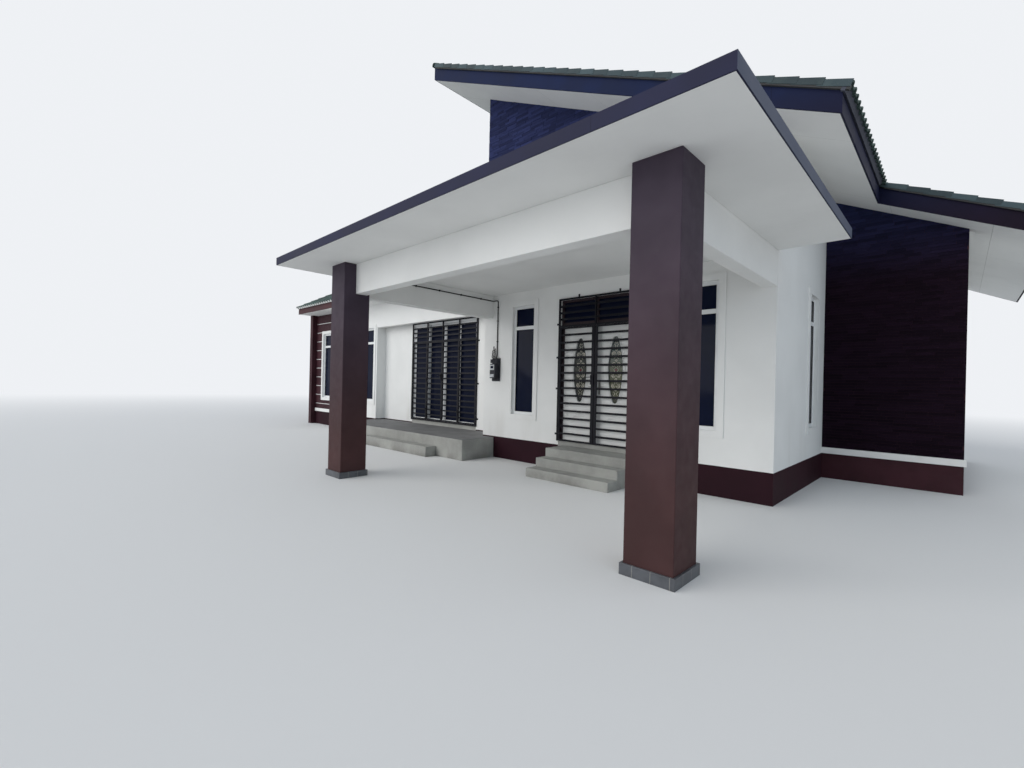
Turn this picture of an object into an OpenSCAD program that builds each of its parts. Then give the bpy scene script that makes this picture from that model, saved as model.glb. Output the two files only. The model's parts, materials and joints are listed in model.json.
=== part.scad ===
// Single-storey house with a flat car porch, a steep single-slope roof over the living rooms
// and a lower double-slope roof over the bedroom bay, ending at a plain party wall.
// Sizes are worked in a house frame: x runs along the front with zero at the right-hand corner,
// y runs into the house with zero on the front wall's face, and z is the height above paving.

/* [Walls] */
// Thickness of every masonry wall
wall_t = 150; // [100:10:220]
// Thickness of the party wall at the house's left end
party_t = 200; // [150:10:300]
// Width of the living-room front, from the right-hand corner to the terrace
living_w = 5850; // [5500:10:6300]
// Width of the terrace recess between the living room and the bedroom bay
terrace_w = 5130; // [4400:10:6000]
// Width of the bedroom bay, party wall included
bay_w = 4420; // [4000:10:5200]
// Width of the wing beyond the right-hand corner
wing_w = 1900; // [1500:10:2600]
// How far the wing stands behind the front wall
wing_back = 3150; // [2800:10:3600]
// How far the bay's front wall stands behind the front wall
bay_back = 300; // [200:10:400]
// How far the terrace wall stands behind the bay's front wall
recess_d = 300; // [200:10:500]
// Depth of the house from front wall to rear wall
house_d = 8430; // [7800:10:9500]
// Height of the painted plinth
plinth_h = 455; // [300:5:520]
// Height of the finished floor
floor_h = 530; // [525:5:600]
// Thickness of the floor slab
floor_t = 150; // [100:10:200]
// How far the party wall's fin stands proud of the bay
fin_proud = 170; // [100:10:250]
// Width of the bay's striped panel, party wall included
striped_w = 2060; // [1800:10:2300]
// Height of the white band over the plinth
ledge_h = 110; // [60:5:160]
// How far the white band stands proud
ledge_proud = 30; // [10:1:50]

/* [Openings] */
// Height of every window and door head
head_h = 3220; // [3100:10:3300]
// Height of the window sills
sill_h = 970; // [850:10:1200]
// Width of a narrow window
window_w = 600; // [500:10:700]
// Width of the bay's double window
double_w = 1150; // [1000:10:1300]
// Distance from the party line to the bay's narrow window
narrow_x = 750; // [600:10:900]
// Distance from the bay's right-hand corner to its double window
double_x = 170; // [130:10:400]
// How far the transom bar of windows and doors lies below their heads
transom_drop = 480; // [400:10:600]
// Distance from the right-hand corner to the first front window
window_a_x = 770; // [600:10:800]
// Distance from the right-hand corner to the second front window
window_b_x = 4390; // [4300:10:4500]
// Distance from the front wall to the side window
side_window_y = 1950; // [1500:10:2200]
// Distance from the right-hand corner to the main doorway
door_x = 2120; // [2000:10:2300]
// Width of the main doorway
door_w = 1610; // [1500:10:1700]
// Distance from the living room to the terrace doorway
slider_x = 910; // [700:10:1200]
// Width of the terrace doorway
slider_w = 2730; // [2400:10:3000]
// Distances from the right-hand corner to the rear windows, one for each room
back_window_x = [300, 3200, 7600, 12500];
// Width of the raised plaster band around a window
surround_w = 100; // [60:5:140]
// How far the plaster bands stand proud
surround_proud = 20; // [10:1:30]

/* [Porch] */
// Width of the porch slab
slab_w = 7380; // [7200:10:7600]
// How far the porch slab passes the right-hand corner
slab_over = 820; // [600:10:900]
// Depth of the porch slab
slab_d = 4190; // [3900:10:4500]
// Height of the porch ceiling over the door heads
ceiling_rise = 295; // [200:5:400]
// Thickness of the porch slab
slab_t = 122; // [100:1:180]
// Thickness of the dark edge board on the slab
edge_t = 12; // [8:1:20]
// Side of a square column
column_w = 450; // [350:10:500]
// How far the columns stand back from the slab's front edge
column_back = 640; // [400:10:800]
// How far the right-hand column passes the right-hand corner
column_over = 210; // [0:10:300]
// Distance between the columns' right faces
column_pitch = 5603; // [5000:1:5800]
// Height of the tiled skirt at a column's foot
skirt_h = 100; // [60:5:150]
// Thickness of the tiled skirt
skirt_t = 24; // [10:1:40]
// Width of a porch beam
beam_w = 200; // [150:10:250]
// Depth of a porch beam below the ceiling
beam_d = 490; // [300:10:550]
// How far the left beam's outer face stands behind the column's outer face
beam_in = 43; // [0:1:120]

/* [Steps] */
// Rise of one entrance step
riser = 151; // [120:1:170]
// Tread of one entrance step
tread = 265; // [240:5:320]
// Landing depth at the top of the entrance steps
landing = 530; // [400:10:700]
// Width of the entrance steps
steps_w = 1650; // [1500:10:1800]
// Distance from the right-hand corner to the entrance steps
steps_x = 1950; // [1850:10:2050]
// Height of the terrace platform
platform_h = 430; // [350:5:450]
// How far the platform comes forward of the front wall
platform_d = 900; // [700:10:1200]
// How far the platform passes the terrace in front of the living room
platform_over = 350; // [200:10:450]
// Width of the step in front of the platform
low_step_w = 1900; // [1500:10:2200]
// Tread of the step in front of the platform
low_step_d = 280; // [240:5:320]

/* [Roofs] */
// Slope of the high roof, in degrees
high_pitch = 25.7; // [22:0.1:28]
// Height of the high roof's soffit over the door heads, at the right-hand corner
high_rise = 1906; // [1800:1:2100]
// Overhang of the high roof at its high edge
high_eave = 1010; // [700:10:1200]
// Overhang of the high roof at its low edge beside the living room
low_eave = 815; // [600:5:1000]
// Overhang of the high roof beside the wing
wing_eave = 890; // [600:10:1100]
// Overhang of the high roof in front of the living room
front_verge = 800; // [600:10:1000]
// Overhang of the high roof in front of the wing
wing_verge = 510; // [400:10:700]
// Overhang of both roofs at the back
back_verge = 530; // [400:10:700]
// Thickness of the soffit boards
soffit_t = 15; // [10:1:25]
// Height of the roof boards at verge and eave
fascia_h = 260; // [200:5:300]
// Thickness of the roof boards
fascia_t = 25; // [18:1:40]
// Height taken by the roof tiles
tile_t = 100; // [80:1:120]
// Height of the tiles' flat pans over the roof deck
pan_t = 60; // [45:1:70]
// Width of a roll that runs down the tiles
roll_w = 88; // [60:1:120]
// Distance between the rolls
roll_pitch = 492; // [300:1:700]
// How far the tiles pass the roof boards along their sloping edges
tile_over = 40; // [20:5:60]
// How far the tiles pass the boards of the eaves
tile_eave = 100; // [50:5:130]
// Slope of the low roof, in degrees
low_pitch = 28; // [24:0.5:32]
// Height of the low roof's soffit over the door heads
low_rise = 700; // [600:10:800]
// Overhang of the low roof in front of the bay
bay_eave = 600; // [400:10:900]
// Height of the low roof's eave boards
low_fascia_h = 200; // [150:5:260]

/* [Doors] */
// Width of a door or window frame bar
frame_w = 50; // [40:1:70]
// Depth of a door or window frame bar
frame_d = 70; // [50:1:90]
// Depth of a frame's outer face behind the wall's face
frame_in = 45; // [30:1:60]
// Thickness of a door leaf
leaf_t = 40; // [35:1:50]
// Height of the leaf's shaped glass
lens_h = 1190; // [900:10:1400]
// Width of the leaf's shaped glass
lens_w = 300; // [240:10:340]
// Radius of the shaped glass's two ends
lens_tip = 55; // [30:5:80]
// Thickness of a glass pane
glass_t = 6; // [4:1:10]
// Side of a grille's frame tube
tube = 30; // [25:1:40]
// Spacing of the grille's horizontal bars
bar_pitch = 150; // [120:1:180]
// Height of a grille bar
bar_h = 38; // [25:1:45]
// Width of the closing plate where the grille's leaves meet
closer_w = 60; // [40:1:70]
// Thickness of the closing plate
closer_t = 6; // [3:1:10]
// How far a grille's frame laps over the wall round its doorway
grille_lap = 25; // [15:1:40]
// Height of the grille's cross rail below the door's transom bar
rail_drop = 40; // [20:5:80]

/* [Meter] */
// Distance from the window's plaster band to the meter board
meter_x = 250; // [150:10:350]
// Height of the meter board's lower edge
meter_z = 1650; // [1500:10:1800]
// Width of the meter board
meter_w = 240; // [180:10:300]
// Height of the meter board
meter_h = 500; // [350:10:600]
// Thickness of the meter board
meter_board_t = 25; // [15:1:40]
// Depth of the meter in front of the wall
meter_d = 130; // [90:5:160]

/* [Hidden] */
$fn = 48;

transom_h = head_h - transom_drop;
slab_h = head_h + ceiling_rise;
high_soffit_h = head_h + high_rise;
low_soffit_h = head_h + low_rise;
bay_x = living_w + terrace_w;
party_x = bay_x + bay_w;
terrace_y = bay_back + recess_d;
roof_left = living_w + high_eave;
roof_right = wing_w + wing_eave;
roof_back = house_d + back_verge;
slab_left = slab_w - slab_over;
// Middle of the whole outline, which stands on the origin
mid_x = (roof_right + tile_eave - party_x) / 2;
mid_y = (roof_back + tile_eave - slab_d) / 2;
// Clearance round a moving piece, and where two leaves meet
gap = 5;
meet = 10;
// Fine clearance where a piece sits on or turns round another
seat = 0.3;
// How far a cutter runs past the piece it cuts
cut = 1;
// Hinges: pin, barrel round it, lug that carries the pin, and the pin's distance from the leaf
pin_r = 6;
barrel_r = 11;
barrel_h = 70;
lug_t = 8;
lug_l = 30;
lug_gap = 4;
strap_gap = 2;
reach = 12;
// Heights of the hinges and of the shaped glass as shares of a leaf's height
hinge_z = [0.12, 0.5, 0.88];
lens_share = 0.615;
// Step of the curved glass's arcs, and how far they stay from a smooth run into its ends
lens_fn = 400;
lens_ease = 0.97;
// Terrace sliding door: play between panels and tracks, and overlap of the two panels
panel_t = 35;
track_gap = 10;
panel_lap = 50;
low_eave_y = bay_back - bay_eave;
low_mid_y = (low_eave_y + roof_back) / 2;
back_y = house_d - wall_t;
wing_window_y = (wing_back + house_d - double_w) / 2;
slider_left = -living_w - slider_x - slider_w;
slider_right = -living_w - slider_x;
door_left = -door_x - door_w;
door_right = -door_x;
// Windows in walls along x: left edge, width, wall's face and number of lights
RIGHT = [-window_a_x - window_w, window_w, 0, 1];
LEFT = [-window_b_x - window_w, window_w, 0, 1];
NARROW = [-party_x + narrow_x, window_w, bay_back, 1];
DOUBLE = [-bay_x - double_x - double_w, double_w, bay_back, 2];
BACK = [for (x = back_window_x) [-x - double_w, double_w, back_y, 2]];
// The same for the walls that face the right-hand side, before they are turned
SIDE = [0, window_w, 0, 1];
WING = [0, double_w, 0, 2];
cement = "#a9a597";
white = "#f2f2ee";
maroon = "#3d1c24";
dark_board = "#372a30";
brown = "#4a2c24";
tile_green = "#4c5a50";
iron = "#1d1d20";
glass_blue = "#2a3038";

// Height of the high roof's soffit plane over a place x
function high_z(x) = high_soffit_h - x * tan(high_pitch);
// Height of the low roof's rafters' underside over a place y
function low_z(y) = low_soffit_h + soffit_t
    + (min(y, 2 * low_mid_y - y) - low_eave_y) * tan(low_pitch);

// Stands what follows on the origin of the whole house
module placed() {
    translate([-mid_x, -mid_y, 0])
        children();
}

// Box between two opposite corners
module block(low, high) {
    translate(low)
        cube(high - low);
}

// Wall piece whose top follows the high roof
module high_wall(x0, x1, y0, y1, z0) {
    translate([0, y1, 0])
        rotate([90, 0, 0])
            linear_extrude(y1 - y0)
                polygon([[x0, z0], [x1, z0], [x1, high_z(x1) - seat], [x0, high_z(x0) - seat]]);
}

// Wall piece whose top follows the low roof
module low_wall(x0, x1, y0, y1, z0) {
    ridge = (y0 < low_mid_y && y1 > low_mid_y) ? [[low_mid_y, low_z(low_mid_y) - seat]] : [];
    translate([x0, 0, 0])
        rotate([90, 0, 90])
            linear_extrude(x1 - x0)
                polygon(concat([[y0, z0], [y1, z0], [y1, low_z(y1) - seat]], ridge,
                               [[y0, low_z(y0) - seat]]));
}

// Opening through a wall that faces the front, with its edges at x0 and x1
module front_hole(x0, x1, y0, z0) {
    block([x0, y0 - wall_t, z0], [x1, y0 + 2 * wall_t, head_h]);
}

// Raised plaster band round a window in a wall whose face is at y0
module front_surround(x0, x1, y0) {
    difference() {
        block([x0 - surround_w, y0 - surround_proud, sill_h - surround_w],
              [x1 + surround_w, y0 + wall_t / 2, head_h + surround_w]);
        front_hole(x0, x1, y0, sill_h);
    }
}

module floor_slab() {
    z = [floor_h - floor_t, floor_h];
    y = house_d - wall_t;
    color(cement) placed() {
        block([-living_w + wall_t, wall_t, z[0]], [-wall_t, y, z[1]]);
        block([-wall_t, wing_back + wall_t, z[0]], [wing_w - wall_t, y, z[1]]);
        block([-party_x + party_t, bay_back + wall_t, z[0]], [-bay_x - wall_t, y, z[1]]);
        block([-bay_x - wall_t, terrace_y + wall_t, z[0]], [-living_w + wall_t, y, z[1]]);
    }
}

module living_wall_right() {
    color(white) placed() {
        difference() {
            union() {
                block([door_right, 0, 0], [0, wall_t, slab_h]);
                front_surround(RIGHT[0], RIGHT[0] + RIGHT[1], 0);
            }
            front_hole(RIGHT[0], RIGHT[0] + RIGHT[1], 0, sill_h);
        }
    }
}

module living_wall_left() {
    color(white) placed() {
        difference() {
            union() {
                block([-living_w, 0, 0], [door_left, wall_t, slab_h]);
                front_surround(LEFT[0], LEFT[0] + LEFT[1], 0);
            }
            front_hole(LEFT[0], LEFT[0] + LEFT[1], 0, sill_h);
        }
    }
}

module living_wall_lintel() {
    color(white) placed() {
        block([door_left, 0, head_h], [door_right, wall_t, slab_h]);
    }
}

// Masonry under the two doorways, up to the floor
module door_sills() {
    color(cement) placed() {
        block([door_left, 0, 0], [door_right, wall_t, floor_h]);
        block([slider_left, terrace_y, 0], [slider_right, terrace_y + wall_t, floor_h]);
    }
}

// Side wall of the living room with its narrow window
module living_side_wall() {
    color(white) placed() {
        difference() {
            union() {
                high_wall(-wall_t, 0, wall_t, wing_back + wall_t, 0);
                block([-wall_t / 2, side_window_y - surround_w, sill_h - surround_w],
                      [surround_proud, side_window_y + window_w + surround_w, head_h + surround_w]);
            }
            block([-2 * wall_t, side_window_y, sill_h],
                  [wall_t, side_window_y + window_w, head_h]);
        }
    }
}

module wing_front_wall() {
    color(maroon) placed()
        high_wall(0, wing_w, wing_back, wing_back + wall_t, 0);
}

module wing_side_wall() {
    color(white) placed() {
        difference() {
            high_wall(wing_w - wall_t, wing_w, wing_back + wall_t, house_d, 0);
            block([wing_w - 2 * wall_t, wing_window_y, sill_h],
                  [wing_w + wall_t, wing_window_y + double_w, head_h]);
        }
    }
}

module terrace_return_wall() {
    color(white) placed()
        block([-living_w, wall_t, 0], [-living_w + wall_t, terrace_y + wall_t, head_h]);
}

module terrace_wall_right() {
    color(white) placed()
        low_wall(slider_right, -living_w, terrace_y, terrace_y + wall_t, 0);
}

module terrace_wall_left() {
    color(white) placed()
        low_wall(-bay_x, slider_left, terrace_y, terrace_y + wall_t, 0);
}

module terrace_wall_lintel() {
    color(white) placed()
        low_wall(slider_left, slider_right, terrace_y, terrace_y + wall_t, head_h);
}

module bay_side_wall() {
    color(white) placed()
        low_wall(-bay_x - wall_t, -bay_x, bay_back + wall_t, terrace_y + wall_t, 0);
}

module bay_striped_wall() {
    x0 = -party_x + party_t;
    color(maroon) placed() {
        difference() {
            union() {
                low_wall(x0, -party_x + striped_w, bay_back, bay_back + wall_t, 0);
                front_surround(NARROW[0], NARROW[0] + NARROW[1], bay_back);
            }
            front_hole(NARROW[0], NARROW[0] + NARROW[1], bay_back, sill_h);
        }
    }
}

module bay_white_wall() {
    color(white) placed() {
        difference() {
            union() {
                low_wall(-party_x + striped_w, -bay_x, bay_back, bay_back + wall_t, 0);
                front_surround(DOUBLE[0], DOUBLE[0] + DOUBLE[1], bay_back);
            }
            front_hole(DOUBLE[0], DOUBLE[0] + DOUBLE[1], bay_back, sill_h);
        }
    }
}

module party_wall() {
    color(maroon) placed() {
        low_wall(-party_x, -party_x + party_t, bay_back - fin_proud, house_d, 0);
    }
}

module terrace_beam() {
    color(white) placed()
        low_wall(-bay_x, -living_w, bay_back, bay_back + wall_t, head_h);
}

module upper_front_wall() {
    color(maroon) placed()
        high_wall(-living_w, 0, 0, wall_t, slab_h);
}

module upper_side_wall() {
    color(maroon) placed()
        high_wall(-living_w, -living_w + wall_t, wall_t, house_d - wall_t, head_h);
}

module back_wall_high() {
    color(white) placed() {
        difference() {
            high_wall(-living_w, wing_w - wall_t, house_d - wall_t, house_d, 0);
            for (w = BACK)
                front_hole(w[0], w[0] + w[1], w[2], sill_h);
        }
    }
}

module back_wall_low() {
    color(white) placed() {
        difference() {
            low_wall(-party_x + party_t, -living_w, house_d - wall_t, house_d, 0);
            for (w = BACK)
                front_hole(w[0], w[0] + w[1], w[2], sill_h);
        }
    }
}

module ledge_bands() {
    color(white) placed() {
        block([0, wing_back - ledge_proud, plinth_h],
              [wing_w + ledge_proud, wing_back, plinth_h + ledge_h]);
        block([-party_x + party_t, bay_back - ledge_proud, plinth_h],
              [-party_x + striped_w, bay_back, plinth_h + ledge_h]);
    }
}

module porch_slab() {
    color(white) placed()
        block([-slab_left + edge_t, -slab_d + edge_t, slab_h],
              [slab_over - edge_t, 0, slab_h + slab_t]);
}

module porch_edge_board() {
    color(dark_board) placed() {
        difference() {
            block([-slab_left, -slab_d, slab_h], [slab_over, 0, slab_h + slab_t]);
            block([-slab_left + edge_t, -slab_d + edge_t, slab_h - cut],
                  [slab_over - edge_t, cut, slab_h + slab_t + cut]);
        }
    }
}

column_y = -slab_d + column_back;

module porch_columns() {
    color(brown) placed() {
        for (x = [column_over, column_over - column_pitch])
            block([x - column_w, column_y, 0], [x, column_y + column_w, slab_h]);
    }
}

module column_skirts() {
    color("#4b4d51") placed() {
        for (x = [column_over, column_over - column_pitch])
            difference() {
                block([x - column_w - skirt_t, column_y - skirt_t, 0],
                      [x + skirt_t, column_y + column_w + skirt_t, skirt_h]);
                block([x - column_w, column_y, -cut], [x, column_y + column_w, skirt_h + cut]);
            }
    }
}

// Beams under the porch slab: along its front, and back to the wall on either side
module porch_beams() {
    left = column_over - column_pitch - column_w + beam_in;
    y = column_y + column_w;
    z = slab_h - beam_d;
    color(white) placed() {
        block([column_over - column_pitch, column_y + beam_w, z],
              [column_over - column_w, column_y + 2 * beam_w, slab_h]);
        block([left, y, z], [left + beam_w, 0, slab_h]);
        block([-beam_w, y, z], [0, 0, slab_h]);
    }
}

module terrace_platform() {
    color(cement) placed() {
        block([-bay_x, -platform_d, 0], [-living_w + platform_over, 0, platform_h]);
        block([-bay_x, 0, 0], [-living_w, terrace_y, platform_h]);
    }
}

low_step_x = living_w + slider_x + slider_w / 2;

module terrace_step() {
    color(cement) placed()
        block([-low_step_x - low_step_w / 2, -platform_d - low_step_d, 0],
              [-low_step_x + low_step_w / 2, -platform_d, platform_h / 2]);
}

module entrance_steps() {
    color(cement) placed() {
        for (i = [0 : 2])
            block([-steps_x - steps_w, -landing - (2 - i) * tread, i * riser],
                  [-steps_x, 0, (i + 1) * riser]);
    }
}

// Outline of the high roof seen from above, grown by some overlap, and by another at its eaves
function high_plan(over, eave) = [
    [-roof_left - over, -front_verge - over],
    [low_eave + eave, -front_verge - over],
    [low_eave + eave, wing_back - wing_verge - over],
    [roof_right + eave, wing_back - wing_verge - over],
    [roof_right + eave, roof_back + over],
    [-roof_left - over, roof_back + over]
];

// Sloping strip of the high roof from y0 to y1, between two heights over the soffit plane
module high_strip(y0, y1, over, eave, low, high) {
    a = -roof_left - over;
    b = roof_right + eave;
    intersection() {
        linear_extrude(2 * high_z(a))
            polygon(high_plan(over, eave));
        translate([0, y1, 0])
            rotate([90, 0, 0])
                linear_extrude(y1 - y0)
                    polygon([[a, high_z(a) + low], [b, high_z(b) + low],
                             [b, high_z(b) + high], [a, high_z(a) + high]]);
    }
}

// Sloping layer over the whole high roof
module high_layer(over, eave, low, high) {
    high_strip(-front_verge - over, roof_back + over, over, eave, low, high);
}

module high_roof_soffit() {
    color(white) placed()
        high_layer(-fascia_t, -fascia_t, 0, soffit_t);
}

module high_roof_deck() {
    color("tan") placed()
        high_layer(-fascia_t, -fascia_t, soffit_t, fascia_h);
}

module high_roof_fascia() {
    color(dark_board) placed()
        difference() {
            high_layer(0, 0, 0, fascia_h);
            high_layer(-fascia_t, -fascia_t, -fascia_h, 2 * fascia_h);
        }
}

// Tiles of the high roof: flat pans, with rolls down the slope
module high_roof_tiles() {
    y = [-front_verge - tile_over, roof_back + tile_over - roll_w];
    color(tile_green) placed() {
        high_layer(tile_over, tile_eave, fascia_h + seat, fascia_h + pan_t);
        for (a = [y[0] : roll_pitch : y[1]])
            high_strip(a, a + roll_w, tile_over, tile_eave,
                       fascia_h + pan_t / 2, fascia_h + tile_t);
    }
}

// Sloping layer of the low roof between two heights over the rafters' underside
module low_layer(x0, x1, over, low, high) {
    y0 = low_eave_y - over;
    y1 = roof_back + over;
    translate([x0, 0, 0])
        rotate([90, 0, 90])
            linear_extrude(x1 - x0)
                polygon([[y0, low_z(y0) + low], [low_mid_y, low_z(low_mid_y) + low],
                         [y1, low_z(y1) + low], [y1, low_z(y1) + high],
                         [low_mid_y, low_z(low_mid_y) + high], [y0, low_z(y0) + high]]);
}

low_deck = low_fascia_h - soffit_t;

module low_roof_deck() {
    color("tan") placed()
        low_layer(-party_x, -living_w, -fascia_t, 0, low_deck);
}

// Tiles of the low roof, with rolls down both slopes
module low_roof_tiles() {
    color(tile_green) placed() {
        low_layer(-party_x, -living_w, tile_eave, low_deck + seat, low_deck + pan_t);
        for (x = [-party_x : roll_pitch : -living_w - roll_w])
            low_layer(x, x + roll_w, tile_eave, low_deck + pan_t / 2, low_deck + tile_t);
    }
}

module low_roof_soffit() {
    color(white) placed() {
        block([-party_x, low_eave_y + fascia_t, low_soffit_h],
              [-living_w, bay_back - fin_proud, low_soffit_h + soffit_t]);
        block([-party_x + party_t, bay_back - fin_proud, low_soffit_h],
              [-living_w, bay_back, low_soffit_h + soffit_t]);
        block([-bay_x, bay_back + wall_t, low_soffit_h],
              [-living_w, terrace_y, low_soffit_h + soffit_t]);
        block([-party_x, house_d, low_soffit_h],
              [-living_w, roof_back - fascia_t, low_soffit_h + soffit_t]);
    }
}

module low_roof_fascia() {
    color(dark_board) placed() {
        block([-party_x, low_eave_y, low_soffit_h],
              [-living_w, low_eave_y + fascia_t, low_soffit_h + low_fascia_h]);
        block([-party_x, roof_back - fascia_t, low_soffit_h],
              [-living_w, roof_back, low_soffit_h + low_fascia_h]);
    }
}

// Left edges of the glazed lights of a window, between its bars
function light_x(w) = [for (i = [0 : w[3] - 1]) w[0] + frame_w + i * (w[1] - frame_w) / w[3]];
function light_w(w) = (w[1] - frame_w) / w[3] - frame_w;

// Lower and upper light of a window, from y0 to y1
module lights(w, y0, y1) {
    for (x = light_x(w)) {
        block([x, y0, sill_h + frame_w], [x + light_w(w), y1, transom_h]);
        block([x, y0, transom_h + frame_w], [x + light_w(w), y1, head_h - frame_w]);
    }
}

module window_frame(w) {
    y = w[2] + frame_in;
    difference() {
        block([w[0], y, sill_h], [w[0] + w[1], y + frame_d, head_h]);
        lights(w, y - cut, y + frame_d + cut);
    }
}

module window_panes(w) {
    y = w[2] + frame_in + (frame_d - glass_t) / 2;
    lights(w, y, y + glass_t);
}

// Turns a window of the front so that it faces the right-hand side
module sideways(x, y) {
    translate([x, y, 0])
        rotate([0, 0, 90])
            children();
}

module front_windows() {
    color(white) placed()
        for (w = [RIGHT, LEFT, NARROW, DOUBLE])
            window_frame(w);
}

module side_windows() {
    color(white) placed() {
        sideways(0, side_window_y)
            window_frame(SIDE);
        sideways(wing_w, wing_window_y)
            window_frame(WING);
    }
}

module back_windows() {
    color(white) placed()
        for (w = BACK)
            window_frame(w);
}

module window_glass() {
    color(glass_blue) placed() {
        for (w = concat([RIGHT, LEFT, NARROW, DOUBLE], BACK))
            window_panes(w);
        sideways(0, side_window_y)
            window_panes(SIDE);
        sideways(wing_w, wing_window_y)
            window_panes(WING);
        for (x = fan_x)
            block([x, door_y + (frame_d - glass_t) / 2, fan_z[0]],
                  [x + fan_w, door_y + (frame_d + glass_t) / 2, fan_z[1]]);
    }
}

door_y = frame_in;
// Two lights over the door leaves: left edges, width and height range
fan_w = (door_w - 3 * frame_w) / 2;
fan_x = [door_left + frame_w, door_right - frame_w - fan_w];
fan_z = [transom_h + frame_w, head_h - frame_w];
leaf_w = (door_w - 2 * frame_w - meet) / 2 - gap;
leaf_z = floor_h + gap;
leaf_top = transom_h - gap;
// The leaf's inner face is flush with its frame, and the hinge line stands off that face
leaf_y = door_y + frame_d - leaf_t;
door_pin_y = door_y + frame_d + reach;
door_pin_x = [door_left + frame_w + gap / 2, door_right - frame_w - gap / 2];

// Half of a hinge that stays with the frame: a lug with its pin
// dir is 1 where the moving leaf lies towards +x, out is 1 where the leaf's face looks to +y
module hinge_pin(x, y, z, dir, out) {
    translate([x, y, z]) {
        cylinder(r = pin_r, h = barrel_h + lug_t);
        cylinder(r = pin_r + strap_gap, h = lug_t);
        translate([dir > 0 ? -lug_l : lug_gap, out > 0 ? -reach : 0, 0])
            cube([lug_l - lug_gap, reach, lug_t]);
    }
}

// Half of a hinge that moves with the leaf: a barrel with its strap
module hinge_barrel(x, y, z, dir, out) {
    translate([x, y, z + lug_t + seat])
        difference() {
            union() {
                cylinder(r = barrel_r, h = barrel_h - strap_gap);
                translate([dir > 0 ? 0 : -lug_l, out > 0 ? -reach : strap_gap, 0])
                    cube([lug_l, reach - strap_gap, barrel_h - strap_gap]);
            }
            translate([0, 0, -cut])
                cylinder(r = pin_r + seat, h = barrel_h + lug_t);
        }
}

module door_frame() {
    color(dark_board) placed() {
        difference() {
            block([door_left, door_y, floor_h], [door_right, door_y + frame_d, head_h]);
            block([door_left + frame_w, door_y - cut, floor_h - cut],
                  [door_right - frame_w, door_y + frame_d + cut, transom_h]);
            for (x = fan_x)
                block([x, door_y - cut, fan_z[0]], [x + fan_w, door_y + frame_d + cut, fan_z[1]]);
        }
        for (h = hinge_z) {
            hinge_pin(door_pin_x[0], door_pin_y, leaf_z + h * (leaf_top - leaf_z), 1, 1);
            hinge_pin(door_pin_x[1], door_pin_y, leaf_z + h * (leaf_top - leaf_z), -1, 1);
        }
    }
}

// Outline of the shaped glass: two long arcs that meet two small round ends
module lens_outline(w, h) {
    t = lens_tip * lens_ease;
    k = h / 2 - t;
    r = (k * k + w * w / 4 - t * t) / (w - 2 * t);
    end = h / 2 - lens_tip;
    meet = end + lens_tip * end / norm([r - w / 2, end]);
    intersection() {
        translate([r - w / 2, 0])
            circle(r, $fn = lens_fn);
        translate([w / 2 - r, 0])
            circle(r, $fn = lens_fn);
        union() {
            square([2 * w, 2 * meet], center = true);
            for (s = [-1, 1])
                translate([0, s * end])
                    circle(lens_tip);
        }
    }
}

// Upright prism of an outline drawn in x and z, from y0 to y1
module upright(x, y0, y1, z) {
    translate([x, y1, z])
        rotate([90, 0, 0])
            linear_extrude(y1 - y0)
                children();
}

lens_x = [door_left + frame_w + gap + leaf_w / 2, door_right - frame_w - gap - leaf_w / 2];
lens_z = leaf_z + (leaf_top - leaf_z) * lens_share;

// Door leaf with its pointed window, side 0 on the left and 1 on the right
module door_leaf(side) {
    x = lens_x[side];
    dir = side == 0 ? 1 : -1;
    difference() {
        block([x - leaf_w / 2, leaf_y, leaf_z], [x + leaf_w / 2, leaf_y + leaf_t, leaf_top]);
        upright(x, leaf_y - cut, leaf_y + leaf_t + cut, lens_z)
            lens_outline(lens_w, lens_h);
    }
    for (h = hinge_z)
        hinge_barrel(door_pin_x[side], door_pin_y, leaf_z + h * (leaf_top - leaf_z), dir, 1);
}

module door_lens(side) {
    y = leaf_y + leaf_t / 2;
    upright(lens_x[side], y - glass_t / 2, y + glass_t / 2, lens_z)
        lens_outline(lens_w, lens_h);
}

module door_leaf_left() {
    color("white") placed() door_leaf(0);
}

module door_leaf_right() {
    color("white") placed() door_leaf(1);
}

module door_lens_left() {
    color(glass_blue) placed() door_lens(0);
}

module door_lens_right() {
    color(glass_blue) placed() door_lens(1);
}

grille_x = [door_left - grille_lap, door_right + grille_lap];
grille_z = [floor_h + gap, head_h + grille_lap];
grille_rail = transom_h - rail_drop;
grille_pin_y = -tube - reach;
grille_pin_x = [grille_x[0] + tube + gap / 2, grille_x[1] - tube - gap / 2];
grille_leaf_w = (grille_x[1] - grille_x[0] - 2 * tube - meet) / 2 - gap;
grille_leaf_z = [grille_z[0] + gap, grille_rail - gap];

// Rectangle of square tube standing in front of the face y0
module tube_frame(x0, x1, y0, z0, z1) {
    difference() {
        block([x0, y0 - tube, z0], [x1, y0, z1]);
        block([x0 + tube, y0 - tube - cut, z0 + tube], [x1 - tube, y0 + cut, z1 - tube]);
    }
}

// Level flat bars between two uprights
module bars(x0, x1, y0, z0, z1) {
    count = floor((z1 - z0) / bar_pitch);
    step = (z1 - z0) / (count + 1);
    for (i = [1 : count])
        block([x0, y0 - tube * 3 / 4, z0 + i * step - bar_h / 2],
              [x1, y0 - tube / 4, z0 + i * step + bar_h / 2]);
}

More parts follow.
